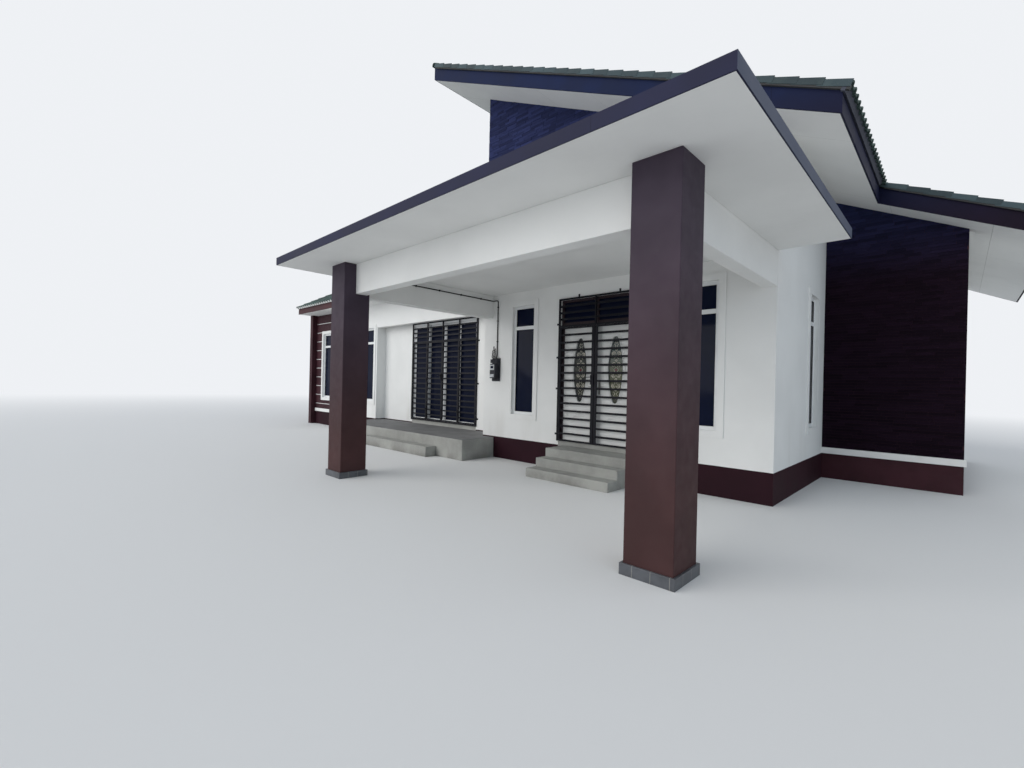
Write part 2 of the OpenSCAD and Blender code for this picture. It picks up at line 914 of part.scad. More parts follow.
module grille_frame() {
    mid = (grille_x[0] + grille_x[1]) / 2;
    color(iron) placed() {
        difference() {
            block([grille_x[0], -tube, grille_z[0]], [grille_x[1], 0, grille_z[1]]);
            block([grille_x[0] + tube, -tube - cut, grille_z[0] - cut],
                  [grille_x[1] - tube, cut, grille_rail]);
            block([grille_x[0] + tube, -tube - cut, grille_rail + tube],
                  [grille_x[1] - tube, cut, grille_z[1] - tube]);
        }
        block([mid - tube / 2, -tube, grille_rail + tube], [mid + tube / 2, 0, grille_z[1] - tube]);
        bars(grille_x[0] + tube, grille_x[1] - tube, 0, grille_rail + tube, grille_z[1] - tube);
        for (h = hinge_z, s = [0, 1])
            hinge_pin(grille_pin_x[s], grille_pin_y,
                      grille_leaf_z[0] + h * (grille_leaf_z[1] - grille_leaf_z[0]),
                      s == 0 ? 1 : -1, -1);
    }
}

// Grille leaf, side 0 on the left and 1 on the right
module grille_leaf(side) {
    a = side == 0 ? grille_x[0] + tube + gap : grille_x[1] - tube - gap - grille_leaf_w;
    b = a + grille_leaf_w;
    plate = side == 0 ? b - closer_w : a;
    tube_frame(a, b, 0, grille_leaf_z[0], grille_leaf_z[1]);
    bars(a + tube, b - tube, 0, grille_leaf_z[0], grille_leaf_z[1]);
    block([plate, -tube, grille_leaf_z[0]], [plate + closer_w, closer_t - tube, grille_leaf_z[1]]);
    for (h = hinge_z)
        hinge_barrel(grille_pin_x[side], grille_pin_y,
                     grille_leaf_z[0] + h * (grille_leaf_z[1] - grille_leaf_z[0]),
                     side == 0 ? 1 : -1, -1);
}

module grille_leaf_left() {
    color(iron) placed() grille_leaf(0);
}

module grille_leaf_right() {
    color(iron) placed() grille_leaf(1);
}

// Folding grille of four panels, hinged to each other and to its frame's right-hand side
module terrace_grille() {
    x0 = slider_left - grille_lap;
    x1 = slider_right + grille_lap;
    w = (x1 - x0 - 2 * tube) / 4;
    z0 = floor_h + tube + gap;
    z1 = grille_rail - gap;
    color(iron) placed() {
        tube_frame(x0, x1, terrace_y, floor_h, head_h + grille_lap);
        block([x0, terrace_y - tube, grille_rail], [x1, terrace_y, grille_rail + tube]);
        bars(x0 + tube, x1 - tube, terrace_y, grille_rail + tube, head_h + grille_lap - tube);
        for (i = [0 : 3]) {
            a = x0 + tube + i * w;
            tube_frame(a + gap / 2, a + w - gap / 2, terrace_y, z0, z1);
            bars(a + tube, a + w - tube, terrace_y, z0, z1);
            block([a + w - tube / 2, terrace_y - tube, grille_rail],
                  [a + w + tube / 2, terrace_y, head_h + grille_lap]);
            for (h = hinge_z)
                translate([a + w, terrace_y - tube - lug_gap, z0 + h * (z1 - z0)])
                    cylinder(r = barrel_r, h = barrel_h);
        }
    }
}

slider_y = terrace_y + frame_w / 2;
slider_d = 2 * panel_t + 3 * track_gap;
slider_mid = (slider_left + slider_right) / 2;
panel_w = (slider_w - 2 * frame_w) / 4 + (panel_lap - meet) / 2;
panel_z = [floor_h + frame_w / 2 + seat, head_h - frame_w - gap];

module slider_frame() {
    color("white") placed()
        difference() {
            block([slider_left, slider_y, floor_h], [slider_right, slider_y + slider_d, head_h]);
            block([slider_left + frame_w, slider_y - cut, floor_h + frame_w / 2],
                  [slider_right - frame_w, slider_y + slider_d + cut, head_h - frame_w]);
        }
}

// Panel of the terrace's sliding door with its lowest corner at x and y, glazed half-way back
module slider_panel(x, y) {
    glass_y = y + (panel_t - glass_t) / 2;
    difference() {
        block([x, y, panel_z[0]], [x + panel_w, y + panel_t, panel_z[1]]);
        block([x + frame_w, y - cut, panel_z[0] + frame_w],
              [x + panel_w - frame_w, glass_y, panel_z[1] - frame_w]);
        block([x + frame_w, glass_y + glass_t, panel_z[0] + frame_w],
              [x + panel_w - frame_w, y + panel_t + cut, panel_z[1] - frame_w]);
    }
}

module slider_fixed_panels() {
    color("white") placed()
        for (x = [slider_left + frame_w, slider_right - frame_w - panel_w])
            slider_panel(x, slider_y + track_gap);
}

module slider_leaf_left() {
    color("white") placed()
        slider_panel(slider_mid - meet / 2 - panel_w, slider_y + panel_t + 2 * track_gap);
}

module slider_leaf_right() {
    color("white") placed()
        slider_panel(slider_mid + meet / 2, slider_y + panel_t + 2 * track_gap);
}

module meter_board() {
    x = LEFT[0] - surround_w - meter_x - meter_w;
    color("#6b6259") placed() {
        block([x, -meter_board_t, meter_z], [x + meter_w, 0, meter_z + meter_h]);
        block([x + meter_w / 6, -meter_d, meter_z + meter_h / 8],
              [x + meter_w * 5 / 6, -meter_board_t, meter_z + meter_h * 3 / 4]);
    }
}

floor_slab();
living_wall_right();
living_wall_left();
living_wall_lintel();
door_sills();
living_side_wall();
wing_front_wall();
wing_side_wall();
terrace_return_wall();
terrace_wall_left();
terrace_wall_right();
terrace_wall_lintel();
bay_side_wall();
bay_striped_wall();
bay_white_wall();
party_wall();
terrace_beam();
upper_front_wall();
upper_side_wall();
back_wall_high();
back_wall_low();
ledge_bands();
porch_slab();
porch_edge_board();
porch_beams();
porch_columns();
column_skirts();
terrace_platform();
terrace_step();
entrance_steps();
high_roof_soffit();
high_roof_deck();
high_roof_fascia();
high_roof_tiles();
low_roof_soffit();
low_roof_deck();
low_roof_fascia();
low_roof_tiles();
front_windows();
side_windows();
back_windows();
window_glass();
door_frame();
door_leaf_left();
door_leaf_right();
door_lens_left();
door_lens_right();
grille_frame();
grille_leaf_left();
grille_leaf_right();
terrace_grille();
slider_frame();
slider_fixed_panels();
slider_leaf_left();
slider_leaf_right();
meter_board();
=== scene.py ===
"""Looks of a single-storey house: roof tiles, stone slips, paint, joinery, grilles and glass.

Sizes are metres. Pieces are drawn in the house's own frame, where x is zero at the right-hand
front corner, y is zero on the front wall's face and z is zero on the ground, and are then set on
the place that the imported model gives.
"""

import json
import logging
import math
from dataclasses import dataclass, field
from enum import Enum
from typing import Any, Callable, Mapping, Sequence

import bmesh
import bpy
from mathutils import Matrix, Vector

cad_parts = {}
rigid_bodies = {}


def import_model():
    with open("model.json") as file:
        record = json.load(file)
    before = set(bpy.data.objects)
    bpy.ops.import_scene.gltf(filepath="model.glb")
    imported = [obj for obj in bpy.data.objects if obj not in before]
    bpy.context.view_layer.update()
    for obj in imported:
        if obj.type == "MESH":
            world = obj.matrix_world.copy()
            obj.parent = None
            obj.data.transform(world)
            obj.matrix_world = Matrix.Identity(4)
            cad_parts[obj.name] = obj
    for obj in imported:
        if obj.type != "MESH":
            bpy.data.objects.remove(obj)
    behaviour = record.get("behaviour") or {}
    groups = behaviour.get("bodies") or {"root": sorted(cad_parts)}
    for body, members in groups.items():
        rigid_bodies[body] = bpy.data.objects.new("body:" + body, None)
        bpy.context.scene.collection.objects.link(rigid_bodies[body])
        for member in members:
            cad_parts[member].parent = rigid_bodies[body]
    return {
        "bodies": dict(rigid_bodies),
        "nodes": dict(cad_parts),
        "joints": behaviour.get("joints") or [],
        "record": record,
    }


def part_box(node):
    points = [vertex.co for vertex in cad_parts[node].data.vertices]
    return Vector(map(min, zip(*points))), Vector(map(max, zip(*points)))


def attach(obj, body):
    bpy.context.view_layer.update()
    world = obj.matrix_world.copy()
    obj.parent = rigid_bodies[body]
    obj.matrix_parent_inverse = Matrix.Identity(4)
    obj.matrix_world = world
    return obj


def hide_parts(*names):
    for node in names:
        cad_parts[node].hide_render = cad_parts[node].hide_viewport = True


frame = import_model()

LOG = logging.getLogger("house")
Colour = tuple[float, float, float]
Point = tuple[float, float, float]
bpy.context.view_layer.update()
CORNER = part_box("upper_front_wall")
HOUSE = Matrix.Translation((CORNER[1].x, CORNER[0].y, 0.0))
PLATFORM_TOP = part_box("terrace_platform")[1].z
WALL_WHITE: Colour = (0.83, 0.83, 0.81)
BOARD_WHITE: Colour = (0.80, 0.80, 0.78)
DOOR_MIDDLES = (-3.3025, -2.5475)
LENS_Z = 1.888
EDGE_MARGIN = 0.001
SHADE_SEED = 77
LET_IN = 0.002
MERGE_WITHIN = 1e-5
FLAT_ANGLE, BEVEL_ANGLE, SMOOTH_ANGLE = (math.radians(angle) for angle in (0.5, 30, 35))
QUARTER = Matrix.Rotation(math.pi / 2, 4, "Z")


class Axis(Enum):
    """A direction that a prism is drawn along."""

    X = 0
    Y = 1
    Z = 2


def math_node(operation: str, swapped: bool = False) -> Callable[["Sock", Any], "Sock"]:
    """Makes an operator on two values.

    Args:
        operation: The operation of the Math node that it adds.
        swapped: Whether the socket is the second value.

    Returns:
        The operator.
    """

    def operator(self: "Sock", value: Any) -> "Sock":
        """Adds the Math node."""
        return self.graph.maths(operation, *((value, self) if swapped else (self, value)))

    return operator


class Sock:
    """One value in a node tree, on which arithmetic adds Math nodes."""

    __add__, __radd__ = math_node("ADD"), math_node("ADD", True)
    __sub__, __rsub__ = math_node("SUBTRACT"), math_node("SUBTRACT", True)
    __mul__, __rmul__ = math_node("MULTIPLY"), math_node("MULTIPLY", True)
    __truediv__, __rtruediv__ = math_node("DIVIDE"), math_node("DIVIDE", True)
    __pow__, __mod__ = math_node("POWER"), math_node("FLOORED_MODULO")
    __lt__, __gt__ = math_node("LESS_THAN"), math_node("GREATER_THAN")
    least, most = math_node("MINIMUM"), math_node("MAXIMUM")

    def __init__(self, graph: "Graph", socket: bpy.types.NodeSocket) -> None:
        """Wraps an output socket of the graph's tree."""
        self.graph = graph
        self.socket = socket

    def other(self, name: str | int) -> "Sock":
        """Gives another output of the same node."""
        return Sock(self.graph, self.socket.node.outputs[name])

    def __abs__(self) -> "Sock":
        """Drops the sign."""
        return self.graph.maths("ABSOLUTE", self)

    def floor(self) -> "Sock":
        """Rounds down."""
        return self.graph.maths("FLOOR", self)

    def ramp(self, low: float, high: float) -> "Sock":
        """Goes smoothly from zero at low to one at high."""
        inputs = {"Value": self, "From Min": low, "From Max": high}
        return self.graph.add("ShaderNodeMapRange", {"interpolation_type": "SMOOTHSTEP"}, inputs)


class Graph:
    """Adds nodes to one tree by their type, settings and socket values."""

    def __init__(self, tree: bpy.types.NodeTree) -> None:
        """Works in the given tree."""
        self.tree = tree

    def add(self, kind: str, settings: Mapping[str, Any] | None = None,
            inputs: Mapping[str | int, Any] | None = None, out: str | int = 0) -> Sock:
        """Adds a node.

        Args:
            kind: The node's type name.
            settings: Properties of the node, set first.
            inputs: Values or links for its sockets, by name or number.
            out: The output to give back.

        Returns:
            The wrapped output.
        """
        node = self.tree.nodes.new(kind)
        for name, value in (settings or {}).items():
            setattr(node, name, value)
        for key, value in (inputs or {}).items():
            if isinstance(value, Sock):
                self.tree.links.new(value.socket, node.inputs[key])
            else:
                node.inputs[key].default_value = value
        return Sock(self, node.outputs[out])

    def maths(self, operation: str, *values: Any) -> Sock:
        """Adds a Math node.

        Args:
            operation: The node's operation.
            values: Its one, two or three values.

        Returns:
            The result.
        """
        return self.add("ShaderNodeMath", {"operation": operation}, dict(enumerate(values)))

    def mix(self, share: Any, first: Any, second: Any) -> Sock:
        """Mixes two colours.

        Args:
            share: How much of the second, from zero to one.
            first: A colour or link.
            second: A colour or link.

        Returns:
            The mixed colour.
        """
        inputs = {0: share, 6: rgba(first), 7: rgba(second)}
        return self.add("ShaderNodeMix", {"data_type": "RGBA"}, inputs, out=2)

    def mottle(self, share: Any, colour: Colour, amount: float) -> Sock:
        """Mixes a colour with a lighter or darker one of the same tone.

        Args:
            share: How much of the other, from zero to one.
            colour: The colour.
            amount: How many times as light the other is.

        Returns:
            The mixed colour.
        """
        return self.mix(share, colour, scaled(colour, amount))

    def beyond(self, edge: float, near: Any, past: Any) -> Sock:
        """Changes a colour where x is past an edge."""
        return self.mix(self.place()[1] > edge, near, past)

    def vector(self, x: Any, y: Any, z: Any) -> Sock:
        """Puts three values together."""
        return self.add("ShaderNodeCombineXYZ", None, {0: x, 1: y, 2: z})

    def place(self) -> tuple[Sock, Sock, Sock, Sock]:
        """Gives the object coordinates of the shaded point.

        Returns:
            The vector and its x, y and z.
        """
        vector = self.add("ShaderNodeTexCoord", out="Object")
        parts = self.add("ShaderNodeSeparateXYZ", None, {0: vector})
        return vector, parts, parts.other(1), parts.other(2)

    def noise(self, scale: float, detail: float, stretch: Point = (1.0, 1.0, 1.0),
              rough: float = 0.5, smear: float = 0.0) -> Sock:
        """Adds cloudy noise on object coordinates.

        Args:
            scale: Waves per metre.
            detail: Octaves.
            stretch: Scale of the coordinates along each axis.
            rough: How strong the fine octaves are.
            smear: How far the noise is bent by itself.

        Returns:
            The noise, from zero to one about a half.
        """
        place = {"Vector": self.place()[0], "Scale": stretch}
        inputs = {"Vector": self.add("ShaderNodeMapping", None, place), "Scale": scale}
        inputs |= {"Detail": detail, "Roughness": rough, "Distortion": smear}
        return self.add("ShaderNodeTexNoise", None, inputs)

    def shade(self) -> Sock:
        """Gives the shade that each repeated piece was given, from zero to one."""
        return self.add("ShaderNodeAttribute", {"attribute_name": "shade"}, out="Fac")

    def surface(self, base: Any, rough: Sock, height: Sock, metal: float = 0.0,
                coat: float = 0.0, level: float = 0.5) -> None:
        """Ends a material's tree.

        Args:
            base: Base colour or link.
            rough: Roughness, which varies over the surface.
            height: Relief in metres.
            metal: One for bare metal.
            coat: Weight of a clear coat.
            level: Specular level.
        """
        inputs: dict[str | int, Any] = {"Base Color": rgba(base), "Roughness": rough}
        inputs |= {"Metallic": metal, "Coat Weight": coat, "Specular IOR Level": level}
        relief = {"Height": height, "Distance": 1.0, "Strength": 1.0}
        inputs["Normal"] = self.add("ShaderNodeBump", None, relief)
        self.end("ShaderNodeOutputMaterial", self.add("ShaderNodeBsdfPrincipled", None, inputs))

    def end(self, kind: str, value: Sock) -> None:
        """Links what the tree makes to its output node."""
        node = self.tree.nodes.new(kind)
        self.tree.links.new(value.socket, node.inputs[0])


def rgba(colour: Any) -> Any:
    """Gives a plain colour its fourth value and leaves a link as it is."""
    return colour if isinstance(colour, Sock) else (*colour[:3], 1.0)


def scaled(colour: Colour, amount: float) -> Colour:
    """Makes a colour lighter or darker."""
    return (colour[0] * amount, colour[1] * amount, colour[2] * amount)


def cleared(owner: bpy.types.Material | bpy.types.World) -> Graph:
    """Turns on the nodes of a material or world and empties its tree.

    Args:
        owner: The material or world.

    Returns:
        The empty tree.
    """
    owner.use_nodes = True
    owner.node_tree.nodes.clear()
    return Graph(owner.node_tree)


# Finishes


@dataclass(frozen=True)
class Finish:
    """A surface finish that becomes one material, for pieces of one of the record's slots."""

    slot: str
    name: str

    def paint(self, graph: Graph) -> None:
        """Draws the finish in an empty tree."""
        raise NotImplementedError

    def material(self) -> bpy.types.Material:
        """Makes the material the first time and gives it back after that.

        Returns:
            The Blender material.
        """
        made = bpy.data.materials.get(self.name)
        if made is None:
            made = bpy.data.materials.new(self.name)
            self.paint(cleared(made))
        return made


@dataclass(frozen=True)
class PlasterPaint(Finish):
    """Painted plaster with a dark plinth band painted at its foot."""

    slot: str = "plaster"
    name: str = "painted_plaster"
    colour: Colour = WALL_WHITE
    plinth: Colour = (0.021, 0.0065, 0.0105)
    plinth_top: float = 0.455
    fleck: float = 260.0

    def paint(self, graph: Graph) -> None:
        """Clouds the paint, stains its foot and draws the band's edge.

        Args:
            graph: The finish's tree.
        """
        height = graph.place()[3]
        cloud = graph.noise(1.1, 4.0)
        streak = graph.noise(2.2, 3.0, (1.0, 1.0, 0.12))
        trowel = graph.noise(7.0, 3.0, smear=0.4)
        grain = graph.noise(self.fleck, 1.0)
        worn = graph.mottle(cloud.ramp(0.35, 0.75), self.colour, 0.94)
        dirt = streak.ramp(0.5, 0.8) * (1.4 - height).ramp(0.0, 0.9) * 0.35
        wall = graph.mix(dirt, worn, (0.52, 0.49, 0.44))
        dark = graph.mottle(cloud.ramp(0.3, 0.8), self.plinth, 1.5)
        edge = self.plinth_top + (trowel - 0.5) * 0.006
        base = graph.mix(height < edge, wall, dark)
        relief = trowel * 0.0012 + grain * 0.0004
        graph.surface(base, 0.55 + cloud * 0.25, relief, level=0.1)


@dataclass(frozen=True)
class StonePaint(Finish):
    """Dark slips of stacked stone, each a little different, with painted blue skylight high up.
    """

    slot: str = "cladding"
    name: str = "stone_slips"
    colour: Colour = (0.0085, 0.0036, 0.0085)
    # upper: the slips' colour tinted blue by skylight, a painted skylight colour and not the
    # stone's own
    upper: Colour = (0.0195, 0.0250, 0.0740)
    painted_skylight_from: tuple[float, float] = (3.4, 5.4)

    def paint(self, graph: Graph) -> None:
        """Varies the slips, with painted blue skylight high up, split faces and dusty edges.

        Args:
            graph: The finish's tree.
        """
        shade = graph.shade()
        split = graph.noise(26.0, 5.0, (1.0, 1.0, 2.2), rough=0.65)
        grain = graph.noise(190.0, 2.0)
        # Painted skylight: the slips blend towards the bluer colour with height
        high = graph.place()[3].ramp(*self.painted_skylight_from)
        dark = graph.mix(high, scaled(self.colour, 0.72), scaled(self.upper, 0.72))
        pale = graph.mix(high, scaled(self.colour, 1.4), scaled(self.upper, 1.4))
        base = graph.mix(shade, dark, pale)
        base = graph.mix(split.ramp(0.58, 0.82) * 0.3, base, (0.034, 0.028, 0.045))
        graph.surface(base, 0.6 + split * 0.3, split * 0.003 + grain * 0.0006, level=0.06)


@dataclass(frozen=True)
class PanelPaint(Finish):
    """Smooth dark render with faint marks of the float."""

    slot: str = "cladding"
    name: str = "dark_render"
    colour: Colour = (0.033, 0.0090, 0.0135)

    def colours(self, graph: Graph) -> Sock:
        """Clouds the paint and weathers it in streaks.

        Args:
            graph: The finish's tree.

        Returns:
            The colour.
        """
        cloud = graph.noise(1.7, 4.0)
        streak = graph.noise(3.0, 3.0, (1.0, 1.0, 0.1))
        base = graph.mottle(cloud.ramp(0.3, 0.75), self.colour, 1.45)
        return graph.mix(streak.ramp(0.62, 0.85) * 0.2, base, scaled(self.colour, 3.2))

    def paint(self, graph: Graph) -> None:
        """Adds the float's marks and a fine grain to the colours.

        Args:
            graph: The finish's tree.
        """
        marks = graph.noise(9.0, 3.0, smear=0.5)
        grain = graph.noise(240.0, 1.0)
        relief = marks * 0.0012 + grain * 0.0004
        graph.surface(self.colours(graph), 0.5 + marks * 0.3, relief, level=0.2)


@dataclass(frozen=True)
class CornerPaint(PanelPaint):
    """Dark render in a navy tone of painted blue skylight, stopping at a corner beyond which the
    wall's end is white.
    """

    name: str = "dark_render_with_white_end"
    # Painted skylight: the dark render is given a navy tone like the slips above it
    colour: Colour = (0.008, 0.008, 0.020)
    white: Colour = WALL_WHITE
    edge: float = CORNER[1].x - EDGE_MARGIN

    def colours(self, graph: Graph) -> Sock:
        """Whitens what faces sideways past the corner."""
        return graph.beyond(self.edge, super().colours(graph), self.white)


@dataclass(frozen=True)
class ColumnPaint(PanelPaint):
    """Brown paint of the porch columns, a little bluer towards the top, where the blue is painted
    shade tinted by skylight.
    """

    slot: str = "column_plaster"
    name: str = "column_paint"
    colour: Colour = (0.048, 0.021, 0.021)
    # upper: the brown as shaded under the porch and tinted blue by skylight, a painted shade
    # colour
    upper: Colour = (0.046, 0.034, 0.050)

    def colours(self, graph: Graph) -> Sock:
        """Clouds the paint and shifts it towards painted shade with height.

        Args:
            graph: The finish's tree.

        Returns:
            The colour.
        """
        cloud = graph.noise(1.7, 4.0)
        # Painted shade: the columns turn bluer towards their tops
        high = graph.place()[3].ramp(0.3, 3.4)
        dark = graph.mix(high, self.colour, self.upper)
        pale = graph.mix(high, scaled(self.colour, 1.4), scaled(self.upper, 1.3))
        return graph.mix(cloud.ramp(0.3, 0.75), dark, pale)


@dataclass(frozen=True)
class TileGlaze(Finish):
    """Grey-green concrete roof tiles, each weathered in its own way."""

    slot: str = "roof_tile"
    name: str = "roof_tiles"
    colour: Colour = (0.048, 0.080, 0.071)
    moss: Colour = (0.11, 0.125, 0.085)

    def paint(self, graph: Graph) -> None:
        """Varies the tiles, with pale bloom, moss and grit.

        Args:
            graph: The finish's tree.
        """
        shade = graph.shade()
        bloom = graph.noise(3.1, 4.0, rough=0.6)
        spots = graph.noise(21.0, 4.0, rough=0.7)
        grit = graph.noise(300.0, 1.0)
        base = graph.mix(shade, scaled(self.colour, 0.72), scaled(self.colour, 1.4))
        base = graph.mix(bloom.ramp(0.5, 0.8) * 0.3, base, (0.14, 0.18, 0.165))
        base = graph.mix(spots.ramp(0.62, 0.74) * 0.4, base, self.moss)
        rough = 0.5 + bloom * 0.3
        graph.surface(base, rough, grit * 0.0008 + spots * 0.0012, level=0.3)


@dataclass(frozen=True)
class BoardPaint(Finish):
    """Dark paint on roof and porch edge boards, with faint grain and butt joints; its blue-purple
    colours are painted shade tinted by skylight.
    """

    slot: str = "edge_board"
    name: str = "edge_board_paint"
    # Painted shade: the default colour is the boards' paint as seen in shade, tinted blue by
    # skylight
    colour: Colour = (0.018, 0.019, 0.045)
    upper: Colour = (0.018, 0.019, 0.045)
    level: float = 0.15
    board: float = 3.6
    joint: float = 0.0025

    def colours(self, graph: Graph) -> Sock:
        """Chalks the paint in patches and shifts it with height towards a painted shade colour.

        Args:
            graph: The finish's tree.

        Returns:
            The colour.
        """
        chalk = graph.noise(1.6, 4.0)
        # Painted shade: above 4 m the boards turn to the upper colour
        high = graph.place()[3].ramp(4.0, 5.6)
        paint = graph.mix(high, self.colour, self.upper)
        pale = graph.mix(high, scaled(self.colour, 1.7), scaled(self.upper, 1.7))
        return graph.mix(chalk.ramp(0.4, 0.8) * 0.6, paint, pale)

    def paint(self, graph: Graph) -> None:
        """Draws the grain along both ways that boards run, and their joints.

        Args:
            graph: The finish's tree.
        """
        _, x, y, _ = graph.place()
        grain = graph.noise(30.0, 4.0, (0.12, 0.12, 3.0))
        chalk = graph.noise(1.6, 4.0)
        run = (x + y * 0.97 + 0.4) % self.board
        seam = run < self.joint
        base = graph.mix(seam, self.colours(graph), scaled(self.colour, 0.3))
        relief = grain * 0.0006 - seam * 0.001
        graph.surface(base, 0.5 + chalk * 0.25, relief, level=self.level)


@dataclass(frozen=True)
class PorchBoardPaint(BoardPaint):
    """The porch edge's paint, with a painted sky reflection that makes the side facing +X paler.
    """

    name: str = "porch_board_paint"
    # Painted reflection: the sky seen in the glossy +X side, put into its colour
    painted_sky_reflection: Colour = (0.072, 0.086, 0.130)
    edge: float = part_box("porch_edge_board")[1].x - EDGE_MARGIN

    def colours(self, graph: Graph) -> Sock:
        """Paints a pale sky reflection on the side that faces +X."""
        return graph.beyond(self.edge, super().colours(graph), self.painted_sky_reflection)


@dataclass(frozen=True)
class SoffitPaint(Finish):
    """White boards under the roofs, with fine joints between the sheets."""

    slot: str = "soffit_board"
    name: str = "soffit_paint"
    colour: Colour = BOARD_WHITE
    sheet: float = 1.2
    gap: float = 0.004

    def paint(self, graph: Graph) -> None:
        """Draws the sheets' joints and a few faint water marks.

        Args:
            graph: The finish's tree.
        """
        _, x, y, _ = graph.place()
        cloud = graph.noise(0.9, 4.0)
        grain = graph.noise(150.0, 2.0)
        across = (x % self.sheet) < self.gap
        along = (y % (self.sheet * 2)) < self.gap
        joint = across.most(along)
        base = graph.mottle(cloud.ramp(0.4, 0.8), self.colour, 0.93)
        base = graph.mix(joint * 0.55, base, (0.34, 0.33, 0.31))
        graph.surface(base, 0.6 + cloud * 0.2, grain * 0.0003 - joint * 0.0015, level=0.35)


@dataclass(frozen=True)
class Screed(Finish):
    """Cement with trowel marks and speckle, as a floor or as mortar under tiles."""

    slot: str = "cement"
    name: str = "cement_screed"
    colour: Colour = (0.37, 0.37, 0.345)
    speckle: Colour = (0.52, 0.52, 0.49)

    def colours(self, graph: Graph) -> Sock:
        """Mixes patches, fine speckle and damp marks near the ground.

        Args:
            graph: The finish's tree.

        Returns:
            The colour.
        """
        height = graph.place()[3]
        patch = graph.noise(1.8, 5.0, rough=0.6)
        speck = graph.noise(95.0, 3.0, rough=0.7)
        base = graph.mottle(patch.ramp(0.3, 0.72), self.colour, 0.74)
        base = graph.mix(speck.ramp(0.55, 0.7) * 0.35, base, self.speckle)
        damp = (0.16 - height).ramp(0.0, 0.16) * patch.ramp(0.35, 0.6) * 0.5
        return graph.mix(damp, base, (0.15, 0.145, 0.13))

    def paint(self, graph: Graph) -> None:
        """Adds the trowel's marks and the grit to the colours.

        Args:
            graph: The finish's tree.
        """
        patch = graph.noise(1.8, 5.0, rough=0.6)
        speck = graph.noise(95.0, 3.0, rough=0.7)
        trowel = graph.noise(6.0, 3.0, (1.0, 0.35, 1.0), smear=0.8)
        relief = trowel * 0.0016 + speck * 0.0008
        graph.surface(self.colours(graph), 0.62 + patch * 0.25, relief, level=0.35)


@dataclass(frozen=True)
class PlatformScreed(Screed):
    """The cement with a darker top, which is painted shade."""

    name: str = "platform_screed"
    top: float = PLATFORM_TOP - 0.004
    # Painted shade: the platform's top is given a darker grey
    shaded_top: Colour = (0.185, 0.185, 0.185)

    def colours(self, graph: Graph) -> Sock:
        """Darkens what lies at the top's height, as painted shade.

        Args:
            graph: The finish's tree.

        Returns:
            The colour.
        """
        worn = graph.noise(2.6, 4.0)
        shaded_top = graph.mottle(worn.ramp(0.35, 0.7), self.shaded_top, 0.8)
        return graph.mix(graph.place()[3] > self.top, super().colours(graph), shaded_top)


@dataclass(frozen=True)
class SkirtGlaze(Finish):
    """Dark floor tiles with pale joints round the feet of the columns."""

    slot: str = "skirt_tile"
    name: str = "skirt_tiles"
    colour: Colour = (0.062, 0.066, 0.074)
    side: float = 0.166
    gap: float = 0.004
    start: tuple[float, float] = (0.03, 0.05)

    def paint(self, graph: Graph) -> None:
        """Draws the tiles, each with a faint cloud, and their joints.

        Args:
            graph: The finish's tree.
        """
        _, x, y, _ = graph.place()
        cloud = graph.noise(7.0, 4.0)
        along, across = (((value + start) % self.side) < self.gap
                         for value, start in zip((x, y), self.start))
        joint = along.most(across)
        base = graph.mottle(cloud.ramp(0.3, 0.7), self.colour, 1.5)
        base = graph.mix(joint, base, (0.30, 0.29, 0.27))
        graph.surface(base, 0.3 + joint * 0.5 + cloud * 0.15, cloud * 0.0004 - joint * 0.001)


@dataclass(frozen=True)
class MetalPaint(Finish):
    """Powder-coated white window metal."""

    slot: str = "white_metal"
    name: str = "white_frames"
    colour: Colour = (0.80, 0.81, 0.81)

    def paint(self, graph: Graph) -> None:
        """Dulls the coat a little where dust lies.

        Args:
            graph: The finish's tree.
        """
        dust = graph.noise(3.0, 4.0)
        orange_peel = graph.noise(420.0, 1.0)
        base = graph.mottle(dust.ramp(0.45, 0.8), self.colour, 0.9)
        graph.surface(base, 0.3 + dust * 0.2, orange_peel * 0.0001, coat=0.15)


@dataclass(frozen=True)
class TimberPaint(Finish):
    """White paint on the doors, with the wood's grain faintly in it."""

    slot: str = "white_timber"
    name: str = "white_joinery"
    colour: Colour = BOARD_WHITE

    def paint(self, graph: Graph) -> None:
        """Draws the upright grain and handled patches.

        Args:
            graph: The finish's tree.
        """
        grain = graph.noise(60.0, 4.0, (3.0, 3.0, 0.12))
        cloud = graph.noise(2.4, 3.0)
        base = graph.mottle(cloud.ramp(0.4, 0.8), self.colour, 0.93)
        base = graph.mix(grain.ramp(0.6, 0.8) * 0.12, base, (0.5, 0.48, 0.44))
        graph.surface(base, 0.33 + cloud * 0.2, grain * 0.0004, coat=0.1)


@dataclass(frozen=True)
class DarkTimber(Finish):
    """Dark stained door frame with open grain."""

    slot: str = "dark_timber"
    name: str = "dark_joinery"
    colour: Colour = (0.021, 0.012, 0.015)

    def paint(self, graph: Graph) -> None:
        """Draws long grain in two browns under a thin varnish.

        Args:
            graph: The finish's tree.
        """
        grain = graph.noise(42.0, 5.0, (3.0, 3.0, 0.14), smear=0.6)
        worn = graph.noise(3.2, 3.0)
        base = graph.mottle(grain.ramp(0.35, 0.7), self.colour, 2.0)
        base = graph.mix(worn.ramp(0.55, 0.85) * 0.3, base, (0.06, 0.038, 0.036))
        graph.surface(base, 0.4 + worn * 0.2, grain * 0.0005, level=0.25)


